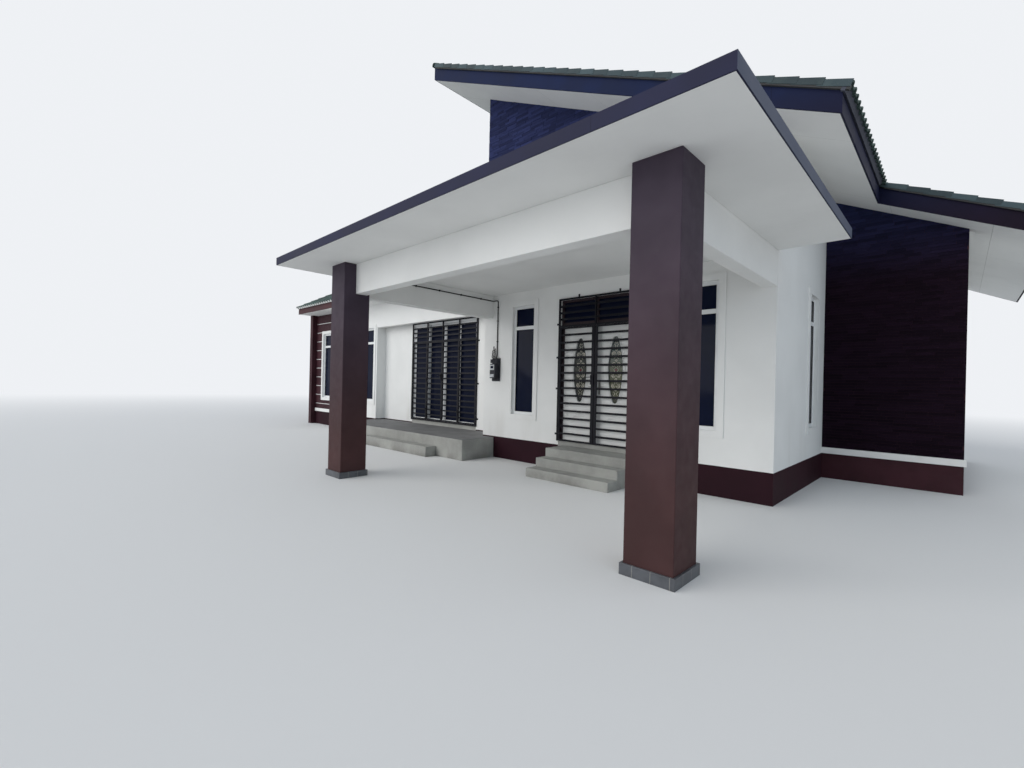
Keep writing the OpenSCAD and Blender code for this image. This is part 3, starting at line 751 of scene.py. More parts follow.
@dataclass(frozen=True)
class SteelPaint(Finish):
    """Black paint on welded steel, dusty and chipped here and there."""

    slot: str = "iron"
    name: str = "black_steel"
    colour: Colour = (0.0065, 0.0065, 0.0105)

    def paint(self, graph: Graph) -> None:
        """Mixes dust, chips and brush marks.

        Args:
            graph: The finish's tree.
        """
        dust = graph.noise(5.0, 4.0)
        chips = graph.noise(85.0, 3.0, rough=0.7)
        base = graph.mix(dust.ramp(0.45, 0.8) * 0.3, self.colour, (0.034, 0.034, 0.038))
        base = graph.mix(chips.ramp(0.74, 0.78), base, (0.07, 0.034, 0.020))
        graph.surface(base, 0.4 + dust * 0.3, chips * 0.0004, level=0.18)


@dataclass(frozen=True)
class TintedGlass(Finish):
    """Dark tinted glass, with a film of dust."""

    slot: str = "dark_glass"
    name: str = "tinted_glass"
    colour: Colour = (0.006, 0.009, 0.026)

    def paint(self, graph: Graph) -> None:
        """Dusts the pane and lets it wave a little.

        Args:
            graph: The finish's tree.
        """
        film = graph.noise(2.3, 5.0, rough=0.6)
        wave = graph.noise(1.4, 1.0)
        base = graph.mix(film.ramp(0.4, 0.9) * 0.4, self.colour, (0.018, 0.020, 0.030))
        rough = 0.05 + film.ramp(0.4, 0.8) * 0.09
        graph.surface(base, rough, wave * 0.0012, level=0.05)


@dataclass(frozen=True)
class LeadedGlass(Finish):
    """Door glass: smoky pieces under pale scrolls with a painted green reflection, strongest on
    the right leaf, and a ruby piece in the middle.
    """

    slot: str = "dark_glass"
    name: str = "leaded_glass"
    half: tuple[float, float] = (0.15, 0.595)
    power: float = 1.8
    repeat: float = 0.19
    ruby: float = 0.020

    @staticmethod
    def ring(across: Sock, up: Sock, centre: tuple[float, float], radius: float,
             line: float) -> Sock:
        """Draws a circle's line.

        Args:
            across: Distance from the glass's middle line.
            up: Height.
            centre: The circle's middle.
            radius: Its radius.
            line: Half the line's width.

        Returns:
            One on the line.
        """
        a, b = across - centre[0], up - centre[1]
        return abs((a * a + b * b) ** 0.5 - radius) < line

    def scrolls(self, across: Sock, up: Sock) -> Sock:
        """Draws mirrored curls that repeat up the glass, with leaves between them.

        Args:
            across: Distance from the glass's middle line.
            up: Height from the glass's middle.

        Returns:
            One on the scrolls.
        """
        part = (abs(up) % self.repeat) - self.repeat / 2
        open_side = 1.0 - (part < -0.008) * (across < 0.052)
        curl = self.ring(across, part, (0.050, 0.0), 0.036, 0.0048) * open_side
        inner = self.ring(across, part, (0.058, 0.006), 0.015, 0.0045)
        stem = abs(across - 0.012 - abs(part + 0.052) * 0.9) < 0.0042
        leaf = self.ring(across, part, (0.0, 0.070), 0.016, 0.0048)
        short = stem * (abs(part + 0.052) < 0.040)
        return curl.most(inner).most(short).most(leaf)

    def paint(self, graph: Graph) -> None:
        """Sets the pieces' colours and their lead, then the scrolls, border and ruby.

        Args:
            graph: The finish's tree.
        """
        _, x, _, z = graph.place()
        first, second = (CORNER[1].x + middle for middle in DOOR_MIDDLES)
        aside = x - (first + second) / 2
        across = abs(abs(aside) - (second - first) / 2)
        up = z - LENS_Z
        # Painted reflection: green-yellow below and teal above, mixed into the smoky glass in
        # clouds and more strongly on the right leaf
        green = (aside > 0.0) * 0.55
        cloud = graph.noise(9.0, 3.0)
        ripple = graph.noise(70.0, 3.0)
        smoky = graph.mix(cloud, (0.020, 0.023, 0.026), (0.050, 0.055, 0.050))
        tinted = graph.mix(up.ramp(-0.1, 0.35), (0.085, 0.095, 0.030), (0.050, 0.085, 0.080))
        base = graph.mix(green + cloud * 0.3, smoky, tinted)
        reach = ((across / self.half[0]) ** self.power
                 + (abs(up) / self.half[1]) ** self.power)
        rim, border, scrolled = 0.80, 0.77, 0.74
        base = graph.mix((reach > rim) * 0.55, base, (0.016, 0.020, 0.022))
        pale = self.scrolls(across, up) * (reach < scrolled)
        far = (across * across + up * up) ** 0.5
        base = graph.mix(pale * (far > self.ruby * 1.5), base, (0.60, 0.56, 0.46))
        base = graph.mix(far < self.ruby, base, (0.16, 0.008, 0.014))
        lead = (abs(reach - border) < 0.022).most(abs(far - self.ruby * 1.2) < 0.004)
        base = graph.mix(lead, base, (0.11, 0.11, 0.105))
        seam = lead.most(pale)
        graph.surface(base, 0.15 + seam * 0.25, ripple * 0.0012 + seam * 0.0015, level=0.3)


@dataclass(frozen=True)
class MeterPlastic(Finish):
    """Moulded plastic of the meter and its board."""

    slot: str = "meter_plastic"
    name: str = "meter_case"
    colour: Colour = (0.020, 0.021, 0.027)

    def paint(self, graph: Graph) -> None:
        """Gives the plastic a fine leather grain and faded patches.

        Args:
            graph: The finish's tree.
        """
        fade = graph.noise(11.0, 4.0)
        grain = graph.noise(700.0, 2.0)
        base = graph.mottle(fade.ramp(0.35, 0.7), self.colour, 1.6)
        graph.surface(base, 0.45 + fade * 0.2, grain * 0.0002, level=0.25)


@dataclass(frozen=True)
class RubberBlack(Finish):
    """Black rubber and cable sheath."""

    slot: str = "iron"
    name: str = "black_rubber"
    colour: Colour = (0.014, 0.014, 0.015)

    def paint(self, graph: Graph) -> None:
        """Dulls the rubber with dust.

        Args:
            graph: The finish's tree.
        """
        dust = graph.noise(14.0, 4.0)
        base = graph.mix(dust.ramp(0.45, 0.85), self.colour, (0.06, 0.058, 0.055))
        graph.surface(base, 0.6 + dust * 0.25, dust * 0.0003)


@dataclass(frozen=True)
class SatinSteel(Finish):
    """Brushed steel of handles and locks."""

    slot: str = "iron"
    name: str = "satin_steel"
    colour: Colour = (0.52, 0.51, 0.49)

    def paint(self, graph: Graph) -> None:
        """Brushes the metal one way.

        Args:
            graph: The finish's tree.
        """
        brushed = graph.noise(260.0, 2.0, (1.0, 1.0, 0.05))
        base = graph.mix(brushed, scaled(self.colour, 0.8), self.colour)
        graph.surface(base, 0.25 + brushed * 0.2, brushed * 0.00005, metal=1.0)


@dataclass(frozen=True)
class RoofTimber(Finish):
    """Sawn roof timber, hidden but for its edges."""

    slot: str = "roof_timber"
    name: str = "sawn_timber"
    colour: Colour = (0.42, 0.31, 0.19)

    def paint(self, graph: Graph) -> None:
        """Draws long grain and saw marks.

        Args:
            graph: The finish's tree.
        """
        grain = graph.noise(24.0, 4.0, (0.15, 1.0, 1.0), smear=1.5)
        saw = graph.noise(90.0, 2.0, (0.2, 1.0, 1.0))
        base = graph.mottle(grain.ramp(0.35, 0.7), self.colour, 0.6)
        graph.surface(base, 0.7 + saw * 0.2, saw * 0.0012)


PLASTER = PlasterPaint()
SLIPS = StonePaint()
RENDER = PanelPaint()
CORNER_RENDER = CornerPaint()
COLUMN = ColumnPaint()
TILES = TileGlaze()
EDGES = TileGlaze(name="edge_tiles", colour=(0.036, 0.058, 0.067))
BOARDS = PorchBoardPaint()
# HIGH_BOARDS is a painted shade copy of the board paint, darker and bluer up high; LOW_BOARDS is
# the paint's maroon-brown as seen in sun
HIGH_BOARDS = BoardPaint(name="high_board_paint", colour=(0.0095, 0.0055, 0.0135),
                         upper=(0.0080, 0.0140, 0.0470), level=0.09)
LOW_BOARDS = BoardPaint(name="low_board_paint", colour=(0.062, 0.026, 0.029),
                        upper=(0.062, 0.026, 0.029))
SOFFIT = SoffitPaint()
CEMENT = Screed()
MORTAR = Screed(name="dark_mortar", colour=(0.055, 0.060, 0.082), speckle=(0.085, 0.090, 0.110))
BEDDING = Screed(name="edge_mortar", colour=(0.045, 0.045, 0.046), speckle=(0.080, 0.078, 0.074))
PLATFORM = PlatformScreed()
SKIRT = SkirtGlaze()
FRAMES = MetalPaint()
JOINERY = TimberPaint()
DARK_JOINERY = DarkTimber()
STEEL = SteelPaint()
GLASS = TintedGlass()
LEADED = LeadedGlass()
METER = MeterPlastic()
DIAL = MeterPlastic(name="pale_plastic", colour=(0.42, 0.43, 0.44))
RUBBER = RubberBlack()
SATIN = SatinSteel()
TIMBER = RoofTimber()


# Mesh tools


def linked(name: str, data: Any) -> bpy.types.Object:
    """Makes an object of a mesh, lamp or camera and puts it in the scene.

    Args:
        name: Name of the object.
        data: The mesh, lamp or camera.

    Returns:
        The object.
    """
    made = bpy.data.objects.new(name, data)
    bpy.context.scene.collection.objects.link(made)
    return made


def settle(piece: bpy.types.Object, finish: Finish, body: str = "body",
           stands_for: Sequence[str] = ()) -> None:
    """Gives a made piece its finish, its body and the nodes that it stands for.

    Args:
        piece: The object, whose mesh is already in place.
        finish: Its finish.
        body: The body that it moves with.
        stands_for: CAD nodes that it replaces.
    """
    piece.data.materials.clear()
    piece.data.materials.append(finish.material())
    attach(piece, body)
    if stands_for:
        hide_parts(*stands_for)
    LOG.info("%s: %d faces on %s", piece.name, len(piece.data.polygons), body)


class Shell:
    """Collects the closed solids of one piece in the house's frame."""

    def __init__(self) -> None:
        """Starts empty."""
        self.mesh = bmesh.new()

    def solid(self, points: Sequence[Point], faces: Sequence[Sequence[int]]) -> None:
        """Adds one closed solid.

        Args:
            points: Its corners.
            faces: Its faces as corner numbers.
        """
        made = [self.mesh.verts.new(p) for p in points]
        for face in faces:
            self.mesh.faces.new([made[i] for i in face])

    def block(self, low: Point, high: Point) -> None:
        """Adds a box between two opposite corners."""
        self.prism([(low[0], low[1]), (high[0], low[1]), (high[0], high[1]), (low[0], high[1])],
                   Axis.Z, low[2], high[2])

    def prism(self, outline: Sequence[tuple[float, float]], axis: Axis, start: float,
              end: float) -> None:
        """Adds an outline drawn out along an axis.

        Args:
            outline: Corners in the two other axes, in the order x, y, z.
            axis: The direction it is drawn along.
            start: Where it starts on that axis.
            end: Where it ends.
        """
        count = len(outline)
        points: list[Point] = []
        for level in (start, end):
            for a, b in outline:
                spot = [a, b]
                spot.insert(axis.value, level)
                points.append((spot[0], spot[1], spot[2]))
        faces: list[Sequence[int]] = [list(range(count)), list(range(count, 2 * count))]
        for i in range(count):
            j = (i + 1) % count
            faces.append([i, j, j + count, i + count])
        self.solid(points, faces)

    def rod(self, path: Sequence[Point], radius: float, sides: int = 10) -> None:
        """Adds a round bar along a path.

        Args:
            path: The points of its middle line.
            radius: Its radius.
            sides: Faces round it.
        """
        spots = [Vector(p) for p in path]
        rings: list[list[bmesh.types.BMVert]] = []
        side = Vector((0.0, 0.0, 0.0))
        for i, spot in enumerate(spots):
            ahead = (spots[min(i + 1, len(spots) - 1)] - spots[max(i - 1, 0)]).normalized()
            if side.length < 0.5:
                side = ahead.orthogonal().normalized()
            side = (side - ahead * side.dot(ahead)).normalized()
            up = ahead.cross(side)
            rings.append([
                self.mesh.verts.new(spot + radius * (math.cos(t) * side + math.sin(t) * up))
                for t in (2 * math.pi * k / sides for k in range(sides))
            ])
        for lower, upper in zip(rings, rings[1:]):
            for k in range(sides):
                n = (k + 1) % sides
                self.mesh.faces.new([lower[k], lower[n], upper[n], upper[k]])
        self.mesh.faces.new(rings[0])
        self.mesh.faces.new(rings[-1])

    def ring(self, centre: Point, outline: Sequence[tuple[float, float]], width: float,
             low: float, high: float) -> None:
        """Adds a flat band that follows a closed outline in x and z.

        Args:
            centre: Middle of the outline; its y isn't used.
            outline: Offsets of the outline's corners from the middle.
            width: Width of the band, outwards.
            low: Where the band starts along y.
            high: Where it ends along y.
        """
        count = len(outline)
        points: list[Point] = []
        for y in (low, high):
            for reach in (0.0, width):
                for i, (a, c) in enumerate(outline):
                    before, after = outline[i - 1], outline[(i + 1) % count]
                    away = Vector((after[1] - before[1], before[0] - after[0])).normalized()
                    points.append((centre[0] + a + away.x * reach, y,
                                   centre[2] + c + away.y * reach))
        faces: list[Sequence[int]] = []
        for i in range(count):
            j = (i + 1) % count
            faces.append([i, j, j + count, i + count])
            faces.append([i + 2 * count, j + 2 * count, j + 3 * count, i + 3 * count])
            faces.append([i, j, j + 2 * count, i + 2 * count])
            faces.append([i + count, j + count, j + 3 * count, i + 3 * count])
        self.solid(points, faces)

    def move(self, first: int, place: Matrix) -> None:
        """Takes the corners from a number on out of their own frame.

        Args:
            first: Number of the first corner.
            place: Where that frame stands in the house's frame.
        """
        self.mesh.verts.ensure_lookup_table()
        for vertex in self.mesh.verts[first:]:
            vertex.co = place @ vertex.co

    def bars(self, low: tuple[float, float], high: tuple[float, float], face: float,
             deep: float, wide: float, place: Matrix = Matrix.Identity(4)) -> None:
        """Adds four bars inside the edge of an upright opening.

        Args:
            low: Its left lower corner in x and z.
            high: Its right upper corner.
            face: Outer face of the bars in y.
            deep: Depth of the bars.
            wide: Width of the bars.
            place: Where these sizes' own frame stands in the house's frame.
        """
        first = len(self.mesh.verts)
        (left, bottom), (right, top) = low, high
        for start, end, foot, head in (
            (left, left + wide, bottom, top),
            (right - wide, right, bottom, top),
            (left + wide, right - wide, bottom, bottom + wide),
            (left + wide, right - wide, top - wide, top),
        ):
            self.block((start, face, foot), (end, face + deep, head))
        self.move(first, place)

    def close(self, name: str) -> bpy.types.Mesh:
        """Turns all faces outwards and gives the finished mesh.

        Args:
            name: The mesh's name.

        Returns:
            The mesh; the shell can't be used any more.
        """
        bmesh.ops.recalc_face_normals(self.mesh, faces=self.mesh.faces)
        data = bpy.data.meshes.new(name)
        self.mesh.to_mesh(data)
        self.mesh.free()
        return data

    def piece(self, name: str, finish: Finish, body: str = "body", bevel: float = 0.0,
              stands_for: Sequence[str] = (), smooth: bool = False) -> None:
        """Makes the object.

        Args:
            name: Its name.
            finish: Its finish.
            body: The body that it moves with.
            bevel: Width of its rounded edges.
            stands_for: CAD nodes that it replaces.
            smooth: Whether its round faces are shaded smooth.
        """
        data = self.close(name)
        data.transform(HOUSE)
        made = linked(name, data)
        if bevel:
            add_bevel(made, bevel)
        if smooth:
            data.shade_smooth()
            data.set_sharp_from_angle(angle=SMOOTH_ANGLE)
        settle(made, finish, body, stands_for)


def add_bevel(piece: bpy.types.Object, width: float) -> None:
    """Rounds a piece's sharp edges with a bevel of two faces.

    Args:
        piece: The object.
        width: Width of the bevel.
    """
    bevel = piece.modifiers.new("soft_edges", "BEVEL")
    bevel.width = width
    bevel.segments = 2
    bevel.limit_method = "ANGLE"
    bevel.angle_limit = BEVEL_ANGLE
    bevel.harden_normals = False


def soften(node: str, finish: Finish, width: float) -> None:
    """Replaces a CAD node by a copy of it with rounded edges.

    Args:
        node: The node's name.
        finish: The copy's finish.
        width: Width of the rounding.
    """
    data = frame["nodes"][node].data.copy()
    data.name = f"{node}_soft"
    data.materials.clear()
    form = bmesh.new()
    form.from_mesh(data)
    bmesh.ops.remove_doubles(form, verts=form.verts, dist=MERGE_WITHIN)
    bmesh.ops.dissolve_limit(form, angle_limit=FLAT_ANGLE, verts=form.verts, edges=form.edges)
    form.to_mesh(data)
    form.free()
    for name in [a.name for a in data.attributes if a.name == "custom_normal"]:
        data.attributes.remove(data.attributes[name])
    made = linked(f"{node}_soft", data)
    add_bevel(made, width)
    settle(made, finish, stands_for=[node])


def dress(node: str, finish: Finish) -> None:
    """Gives a CAD node its finish and leaves its shape alone.

    Args:
        node: The node's name.
        finish: Its finish.
    """
    target = frame["nodes"][node]
    for spot in target.material_slots:
        spot.material = finish.material()
    if not target.material_slots:
        target.data.materials.append(finish.material())
    LOG.info("%s: dressed in %s", node, finish.name)


class NodeForm:
    """A Geometry Nodes tree with named sizes that is used once and becomes a plain mesh."""

    KINDS = {int: "NodeSocketInt", float: "NodeSocketFloat"}

    def __init__(self, name: str, sizes: Mapping[str, Any]) -> None:
        """Starts a tree.

        Args:
            name: Name of the tree and of the piece that it makes.
            sizes: Value of each named input; an object may stand among them.
        """
        self.name = name
        self.sizes = sizes
        self.tree = bpy.data.node_groups.new(name, "GeometryNodeTree")
        self.graph = Graph(self.tree)
        for label, value in sizes.items():
            kind = self.KINDS.get(type(value), "NodeSocketObject")
            self.tree.interface.new_socket(label, in_out="INPUT", socket_type=kind)
        kind = "NodeSocketGeometry"
        self.tree.interface.new_socket("Geometry", in_out="OUTPUT", socket_type=kind)
        self.entry = self.tree.nodes.new("NodeGroupInput")

    def size(self, label: str) -> Sock:
        """Gives a named input."""
        return Sock(self.graph, self.entry.outputs[label])

    def object(self, label: str) -> Sock:
        """Gives the geometry of the object in a named input."""
        inputs = {"Object": self.size(label)}
        return self.graph.add("GeometryNodeObjectInfo", None, inputs, out="Geometry")

    def chance(self, low: float, high: float, seed: Any, key: Sock | None = None) -> Sock:
        """Gives a random value for each point.

        Args:
            low: Smallest value.
            high: Largest value.
            seed: The seed.
            key: What the value hangs on, in place of the point's number.

        Returns:
            The value.
        """
        inputs: dict[str | int, Any] = {2: low, 3: high, "Seed": seed}
        if key is not None:
            inputs["ID"] = key
        return self.graph.add("FunctionNodeRandomValue", {"data_type": "FLOAT"}, inputs, out=1)

    def copies(self, count: Sock, position: Sock, part: Sock, turn: Any = (0.0, 0.0, 0.0),
               scale: Any = (1.0, 1.0, 1.0), keep: Any = True) -> Sock:
        """Sets copies of a part on computed points and gives each a shade.

        Args:
            count: Number of points.
            position: Place of each.
            part: The geometry to copy.
            turn: Rotation of each.
            scale: Scale of each.
            keep: Which points get a copy.

        Returns:
            The copies.
        """
        add = self.graph.add
        points = add("GeometryNodePoints", None, {"Count": count, "Position": position})
        inputs = {"Points": points, "Instance": part, "Rotation": turn, "Scale": scale}
        made = add("GeometryNodeInstanceOnPoints", None, inputs | {"Selection": keep})
        settings = {"data_type": "FLOAT", "domain": "INSTANCE"}
        shade = {"Geometry": made, "Name": "shade", "Value": self.chance(0.0, 1.0, SHADE_SEED)}
        return add("GeometryNodeStoreNamedAttribute", settings, shade)

    def piece(self, geometry: Sock, finish: Finish, place: Matrix,
              stands_for: Sequence[str] = ()) -> None:
        """Ends the tree, runs it and makes the piece.

        Args:
            geometry: What the tree makes.
            finish: The piece's finish.
            place: Where the tree's own frame stands in the house's frame.
            stands_for: CAD nodes that it replaces.
        """
        real = self.graph.add("GeometryNodeRealizeInstances", None, {0: geometry})
        coat = {0: real, "Material": finish.material()}
        self.graph.end("NodeGroupOutput", self.graph.add("GeometryNodeSetMaterial", None, coat))
        holder = linked(f"{self.name}_holder", bpy.data.meshes.new("empty"))
        modifier = holder.modifiers.new("form", "NODES")
        modifier.node_group = self.tree
        for item in self.tree.interface.items_tree:
            if item.in_out == "INPUT":
                modifier[item.identifier] = self.sizes[item.name]
        holder.update_tag()
        graph = bpy.context.evaluated_depsgraph_get()
        data = bpy.data.meshes.new_from_object(holder.evaluated_get(graph), depsgraph=graph)
        holder.modifiers.remove(modifier)
        bpy.data.objects.remove(holder)
        data.name = self.name
        data.transform(HOUSE @ place)
        settle(linked(self.name, data), finish, stands_for=stands_for)


def part(name: str, shell: Shell) -> bpy.types.Object:
    """Makes an unlinked object from a shell, for a node tree to copy.

    Args:
        name: Its name.
        shell: Its solids, in its own frame.

    Returns:
        The object, which no scene holds.
    """
    return bpy.data.objects.new(name, shell.close(name))


# Roof tiles


@dataclass
class TileShape:
    """One interlocking roof tile with rolls, drawn with its tail at zero and its head behind."""

    rolls: int = 2
    roll_pitch: float = 0.164
    roll_w: float = 0.088
    roll_h: float = 0.034
    length: float = 0.355
    thick: float = 0.019
    gauge: float = 0.293
    bed: float = 0.024
    bedding_w: float = 0.05
    steps: int = 6

    @property
    def tilt(self) -> float:
        """Rise of the tile's underside per metre, so that each tail rests on the next tile."""
        return self.thick / self.gauge

    def stop(self, name: str, depth: float = 0.024) -> bpy.types.Object:
        """Makes the mortar that closes the tile's rolls at an eave, shaped to its underside.

        Args:
            name: Name of the object.
            depth: How far the strip under the rolls reaches down; with none, only the rolls
                themselves are filled.

        Returns:
            The object for a node tree to copy.
        """
        shell = Shell()
        near, far, back, roll_far, sole, gap = -0.080, -0.034, 0.02, -0.008, 0.002, 0.004
        lift = self.bed + self.tilt * (self.length + near) + gap
        line = [(across, lift + height) for across, height in self.section()]
        if depth:
            line[-1] = (self.rolls * self.roll_pitch, lift)
            shell.prism([(0.0, -depth), *line, (line[-1][0], -depth)], Axis.X, near, far)
            return part(name, shell)
        for roll in range(self.rolls):
            start = roll * (self.steps + 2)
            arc = line[start:start + self.steps + 1]
            foot = [(arc[-1][0], sole), (arc[0][0], sole)]
            shell.prism(arc + foot, Axis.X, near + back, roll_far)
        return part(name, shell)

    def bedding(self, name: str) -> bpy.types.Object:
        """Makes one course's length of the mortar under the tiles of a sloping edge.

        Args:
            name: Name of the object.

        Returns:
            The object for a node tree to copy.
        """
        shell = Shell()
        reach, top, rough, foot, waves = self.gauge + 0.006, 0.040, 0.003, -0.007, 6
        crest = [(-reach * i / waves, top + rough * (-1) ** i) for i in range(waves + 1)]
        shell.prism([(0.0, foot), *crest, (-reach, foot)], Axis.Y, 0.0, self.bedding_w)
        return part(name, shell)

    def section(self) -> list[tuple[float, float]]:
        """Draws the top line across the tile.

        Returns:
            Distances across and heights of the line's points.
        """
        line: list[tuple[float, float]] = []
        for roll in range(self.rolls):
            start = roll * self.roll_pitch
            middle = start + self.roll_w / 2
            for i in range(self.steps + 1):
                t = math.pi * i / self.steps
                across = middle - math.cos(t) * self.roll_w / 2
                line.append((across, self.roll_h * math.sin(t) ** 0.8))
            line.append((start + self.roll_w + 0.012, 0.0))
        line.append((self.rolls * self.roll_pitch + 0.004, 0.0))
        return line

    def build(self, name: str) -> bpy.types.Object:
        """Makes the tile.

        Args:
            name: Name of the object.

        Returns:
            The object for a node tree to copy.
        """
        line = self.section()
        count = len(line)
        points: list[Point] = []
        for x in (-self.length, 0.0):
            base = self.bed + self.tilt * (x + self.length)
            for lift in (0.0, self.thick):
                points += [(x, across, base + lift + height) for across, height in line]
        faces: list[Sequence[int]] = []
        for i in range(count - 1):
            a, b, c, d = i, i + count, i + 2 * count, i + 3 * count
            faces += [[a, a + 1, c + 1, c], [b, b + 1, d + 1, d]]
            faces += [[a, a + 1, b + 1, b], [c, c + 1, d + 1, d]]
        for end in (0, count - 1):
            faces.append([end, end + count, end + 3 * count, end + 2 * count])
        shell = Shell()
        shell.solid(points, faces)
        return part(name, shell)


@dataclass
class TileField:
    """Courses of one tile on one slope."""

    name: str
    tile: bpy.types.Object
    courses: int
    columns: int
    first: float
    gauge: float
    cover: float
    place: Matrix
    stands_for: Sequence[str] = ()
    finish: Finish = TILES
    play: float = 0.0016
    seed: int = 11

    def build(self) -> None:
        """Lays the courses as one piece with a node tree."""
        sizes = {"Tile": self.tile, "Courses": self.courses, "Columns": self.columns}
        sizes |= {"First": self.first, "Gauge": self.gauge, "Cover": self.cover}
        sizes |= {"Play": self.play, "Seed": self.seed}
        form = NodeForm(self.name, sizes)
        graph = form.graph
        number = graph.add("GeometryNodeInputIndex")
        course = (number / form.size("Columns")).floor()
        column = number - course * form.size("Columns")
        seed = form.size("Seed")
        slip = form.chance(-1.0, 1.0, seed) * form.size("Play")
        lift = form.chance(-0.2, 0.6, seed + 3.0) * form.size("Play")
        down = form.size("First") + course * form.size("Gauge") + slip
        spot = graph.vector(down, column * form.size("Cover") + slip * 0.3, lift)
        turn = graph.vector(0.0, 0.0, form.chance(-0.004, 0.004, seed + 5.0))
        count = form.size("Courses") * form.size("Columns")
        laid = form.copies(count, spot, form.object("Tile"), turn)
        form.piece(laid, self.finish, self.place, self.stands_for)


@dataclass
class HighRoof:
    """Covering of the high single-slope roof, with its caps and edge tiles."""

    pitch: float = math.radians(25.7)
    soffit: float = 5.126
    deck: float = 0.2603
    left: float = -6.90
    near_right: float = 0.880
    far_right: float = 2.855
    front: float = -0.84
    back: float = 9.0
    courses: int = 29
    columns: int = 30
    near_columns: int = 10
    wing_columns: int = 19
    last_sunk: float = 0.006
    edge_t: float = 0.016
    edge_gap: float = 0.001
    cap_gauge: float = 0.41

    @property
    def cover(self) -> float:
        """Width that each tile covers, so that whole tiles fill the roof."""
        return (self.back - self.front) / self.columns

    @property
    def shape(self) -> TileShape:
        """The whole tile, which is two rolls wide."""
        return TileShape(roll_pitch=self.cover / 2)

    @property
    def near(self) -> float:
        """Length of the slope beside the porch."""
        return (self.near_right - self.left) / math.cos(self.pitch)

    @property
    def far(self) -> float:
        """Length of the slope over the wing."""
        return (self.far_right - self.left) / math.cos(self.pitch)

    @property
    def wing_edge(self) -> float:
        """Where the wing's sloping edge stands, in the middle of a column."""
        return self.front + (self.near_columns + 0.5) * self.cover

    def slope(self, y: float) -> Matrix:
        """Gives the frame of the slope: x down it from its top edge, y along, z off it."""
        top = self.soffit + self.deck - self.left * math.tan(self.pitch)
        return Matrix.Translation((self.left, y, top)) @ Matrix.Rotation(self.pitch, 4, "Y")

    def lay(self, name: str, tile: bpy.types.Object, courses: int, columns: int, first: float,
            y: float, finish: Finish = TILES, sunk: float = 0.0,
            stands_for: Sequence[str] = ()) -> None:
        """Lays one field of tiles on the slope.

        Args:
            name: Name of the piece.
            tile: What is laid.
            courses: Courses down the slope.
            columns: Columns along the eave.
            first: How far down the slope the first course ends.
            y: Where the first column starts.
            finish: Finish of the field.
            sunk: How far it is pressed in.
            stands_for: CAD nodes that it replaces.
        """
        place = self.slope(y) @ Matrix.Translation((0.0, 0.0, -sunk))
        TileField(name, tile, courses, columns, first, self.shape.gauge, self.cover, place,
                  stands_for, finish).build()

    def build(self) -> None:
        """Lays the tiles, the mortar at the eaves, the edge tiles and the caps."""
        gauge, wing, sunk = self.shape.gauge, self.wing_columns, self.last_sunk
        edge, whole = self.wing_edge, self.wing_edge + self.cover / 2
        tile, stop = self.shape.build("roll_tile"), self.shape.stop("eave_mortar")
        half = TileShape(rolls=1, roll_pitch=self.cover / 2).build("half_tile")
        first, below_first = self.near - (self.courses - 1) * gauge, self.near + gauge
        below = int((self.far - self.near) / gauge)
        self.lay("high_tiles", tile, self.courses, self.columns, first, self.front,
                 stands_for=["high_roof_tiles"])
        self.lay("wing_tiles", tile, below, wing, below_first, whole)
        self.lay("wing_half_tiles", half, below, 1, below_first, edge)
        self.lay("wing_last_half_tile", half, 1, 1, self.far, edge, sunk=sunk)
        self.lay("wing_last_tiles", tile, 1, wing, self.far, whole, sunk=sunk)
        self.lay("near_eave_mortar", stop, 1, self.near_columns, self.near, self.front, MORTAR)
        self.lay("wing_eave_mortar", stop, 1, wing, self.far, whole, MORTAR, sunk)
        self.build_edges(first, below_first, below)
        self.build_cap()

    def build_edges(self, first: float, below_first: float, below: int) -> None:
        """Hangs the edge tiles down the sloping edges and beds the tiles there in mortar.

        Args:
            first: How far down the slope its first course ends.
            below_first: How far down the wing's first course below the porch's eave ends.
            below: Full courses of the wing below that eave.
        """
        tile, shape, inside = self.edge_tile(), self.shape, self.edge_gap
        runs = (("front", self.courses, first, self.front, inside),
                ("wing", below, below_first, self.wing_edge, inside),
                ("back", self.courses + below, first, self.back, -inside - shape.bedding_w))
        for name, count, start, y, _ in runs:
            self.lay(f"{name}_edge_tiles", tile, count, 1, start, y - self.edge_t / 2, EDGES)
        for name, count, start, y, offset in runs:
            bed = shape.bedding(f"{name}_bedding")
            self.lay(f"{name}_edge_mortar", bed, count, 1, start, y + offset, BEDDING)

    def edge_tile(self) -> bpy.types.Object:
        """Makes the tile that covers a sloping edge, its tail standing proud of the next head.

        Returns:
            The object for a node tree to copy.
        """
        shape = self.shape
        shell = Shell()
        rise = shape.tilt * shape.length
        top = shape.bed + shape.thick + 0.034
        low, fall, proud = 0.020, 0.015, 0.0035
        spots = [(-shape.length, low - fall, proud), (-shape.length, top, proud),
                 (0.0, top + rise, 0.0), (0.0, low, 0.0)]
        points = [(x, near, z) for x, z, near in spots]
        points += [(x, self.edge_t - near, z) for x, z, near in spots]
        faces: list[Sequence[int]] = [[0, 1, 2, 3], [4, 5, 6, 7]]
        faces += [[i, (i + 1) % 4, (i + 1) % 4 + 4, i + 4] for i in range(4)]
        shell.solid(points, faces)
        return part("edge_tile", shell)

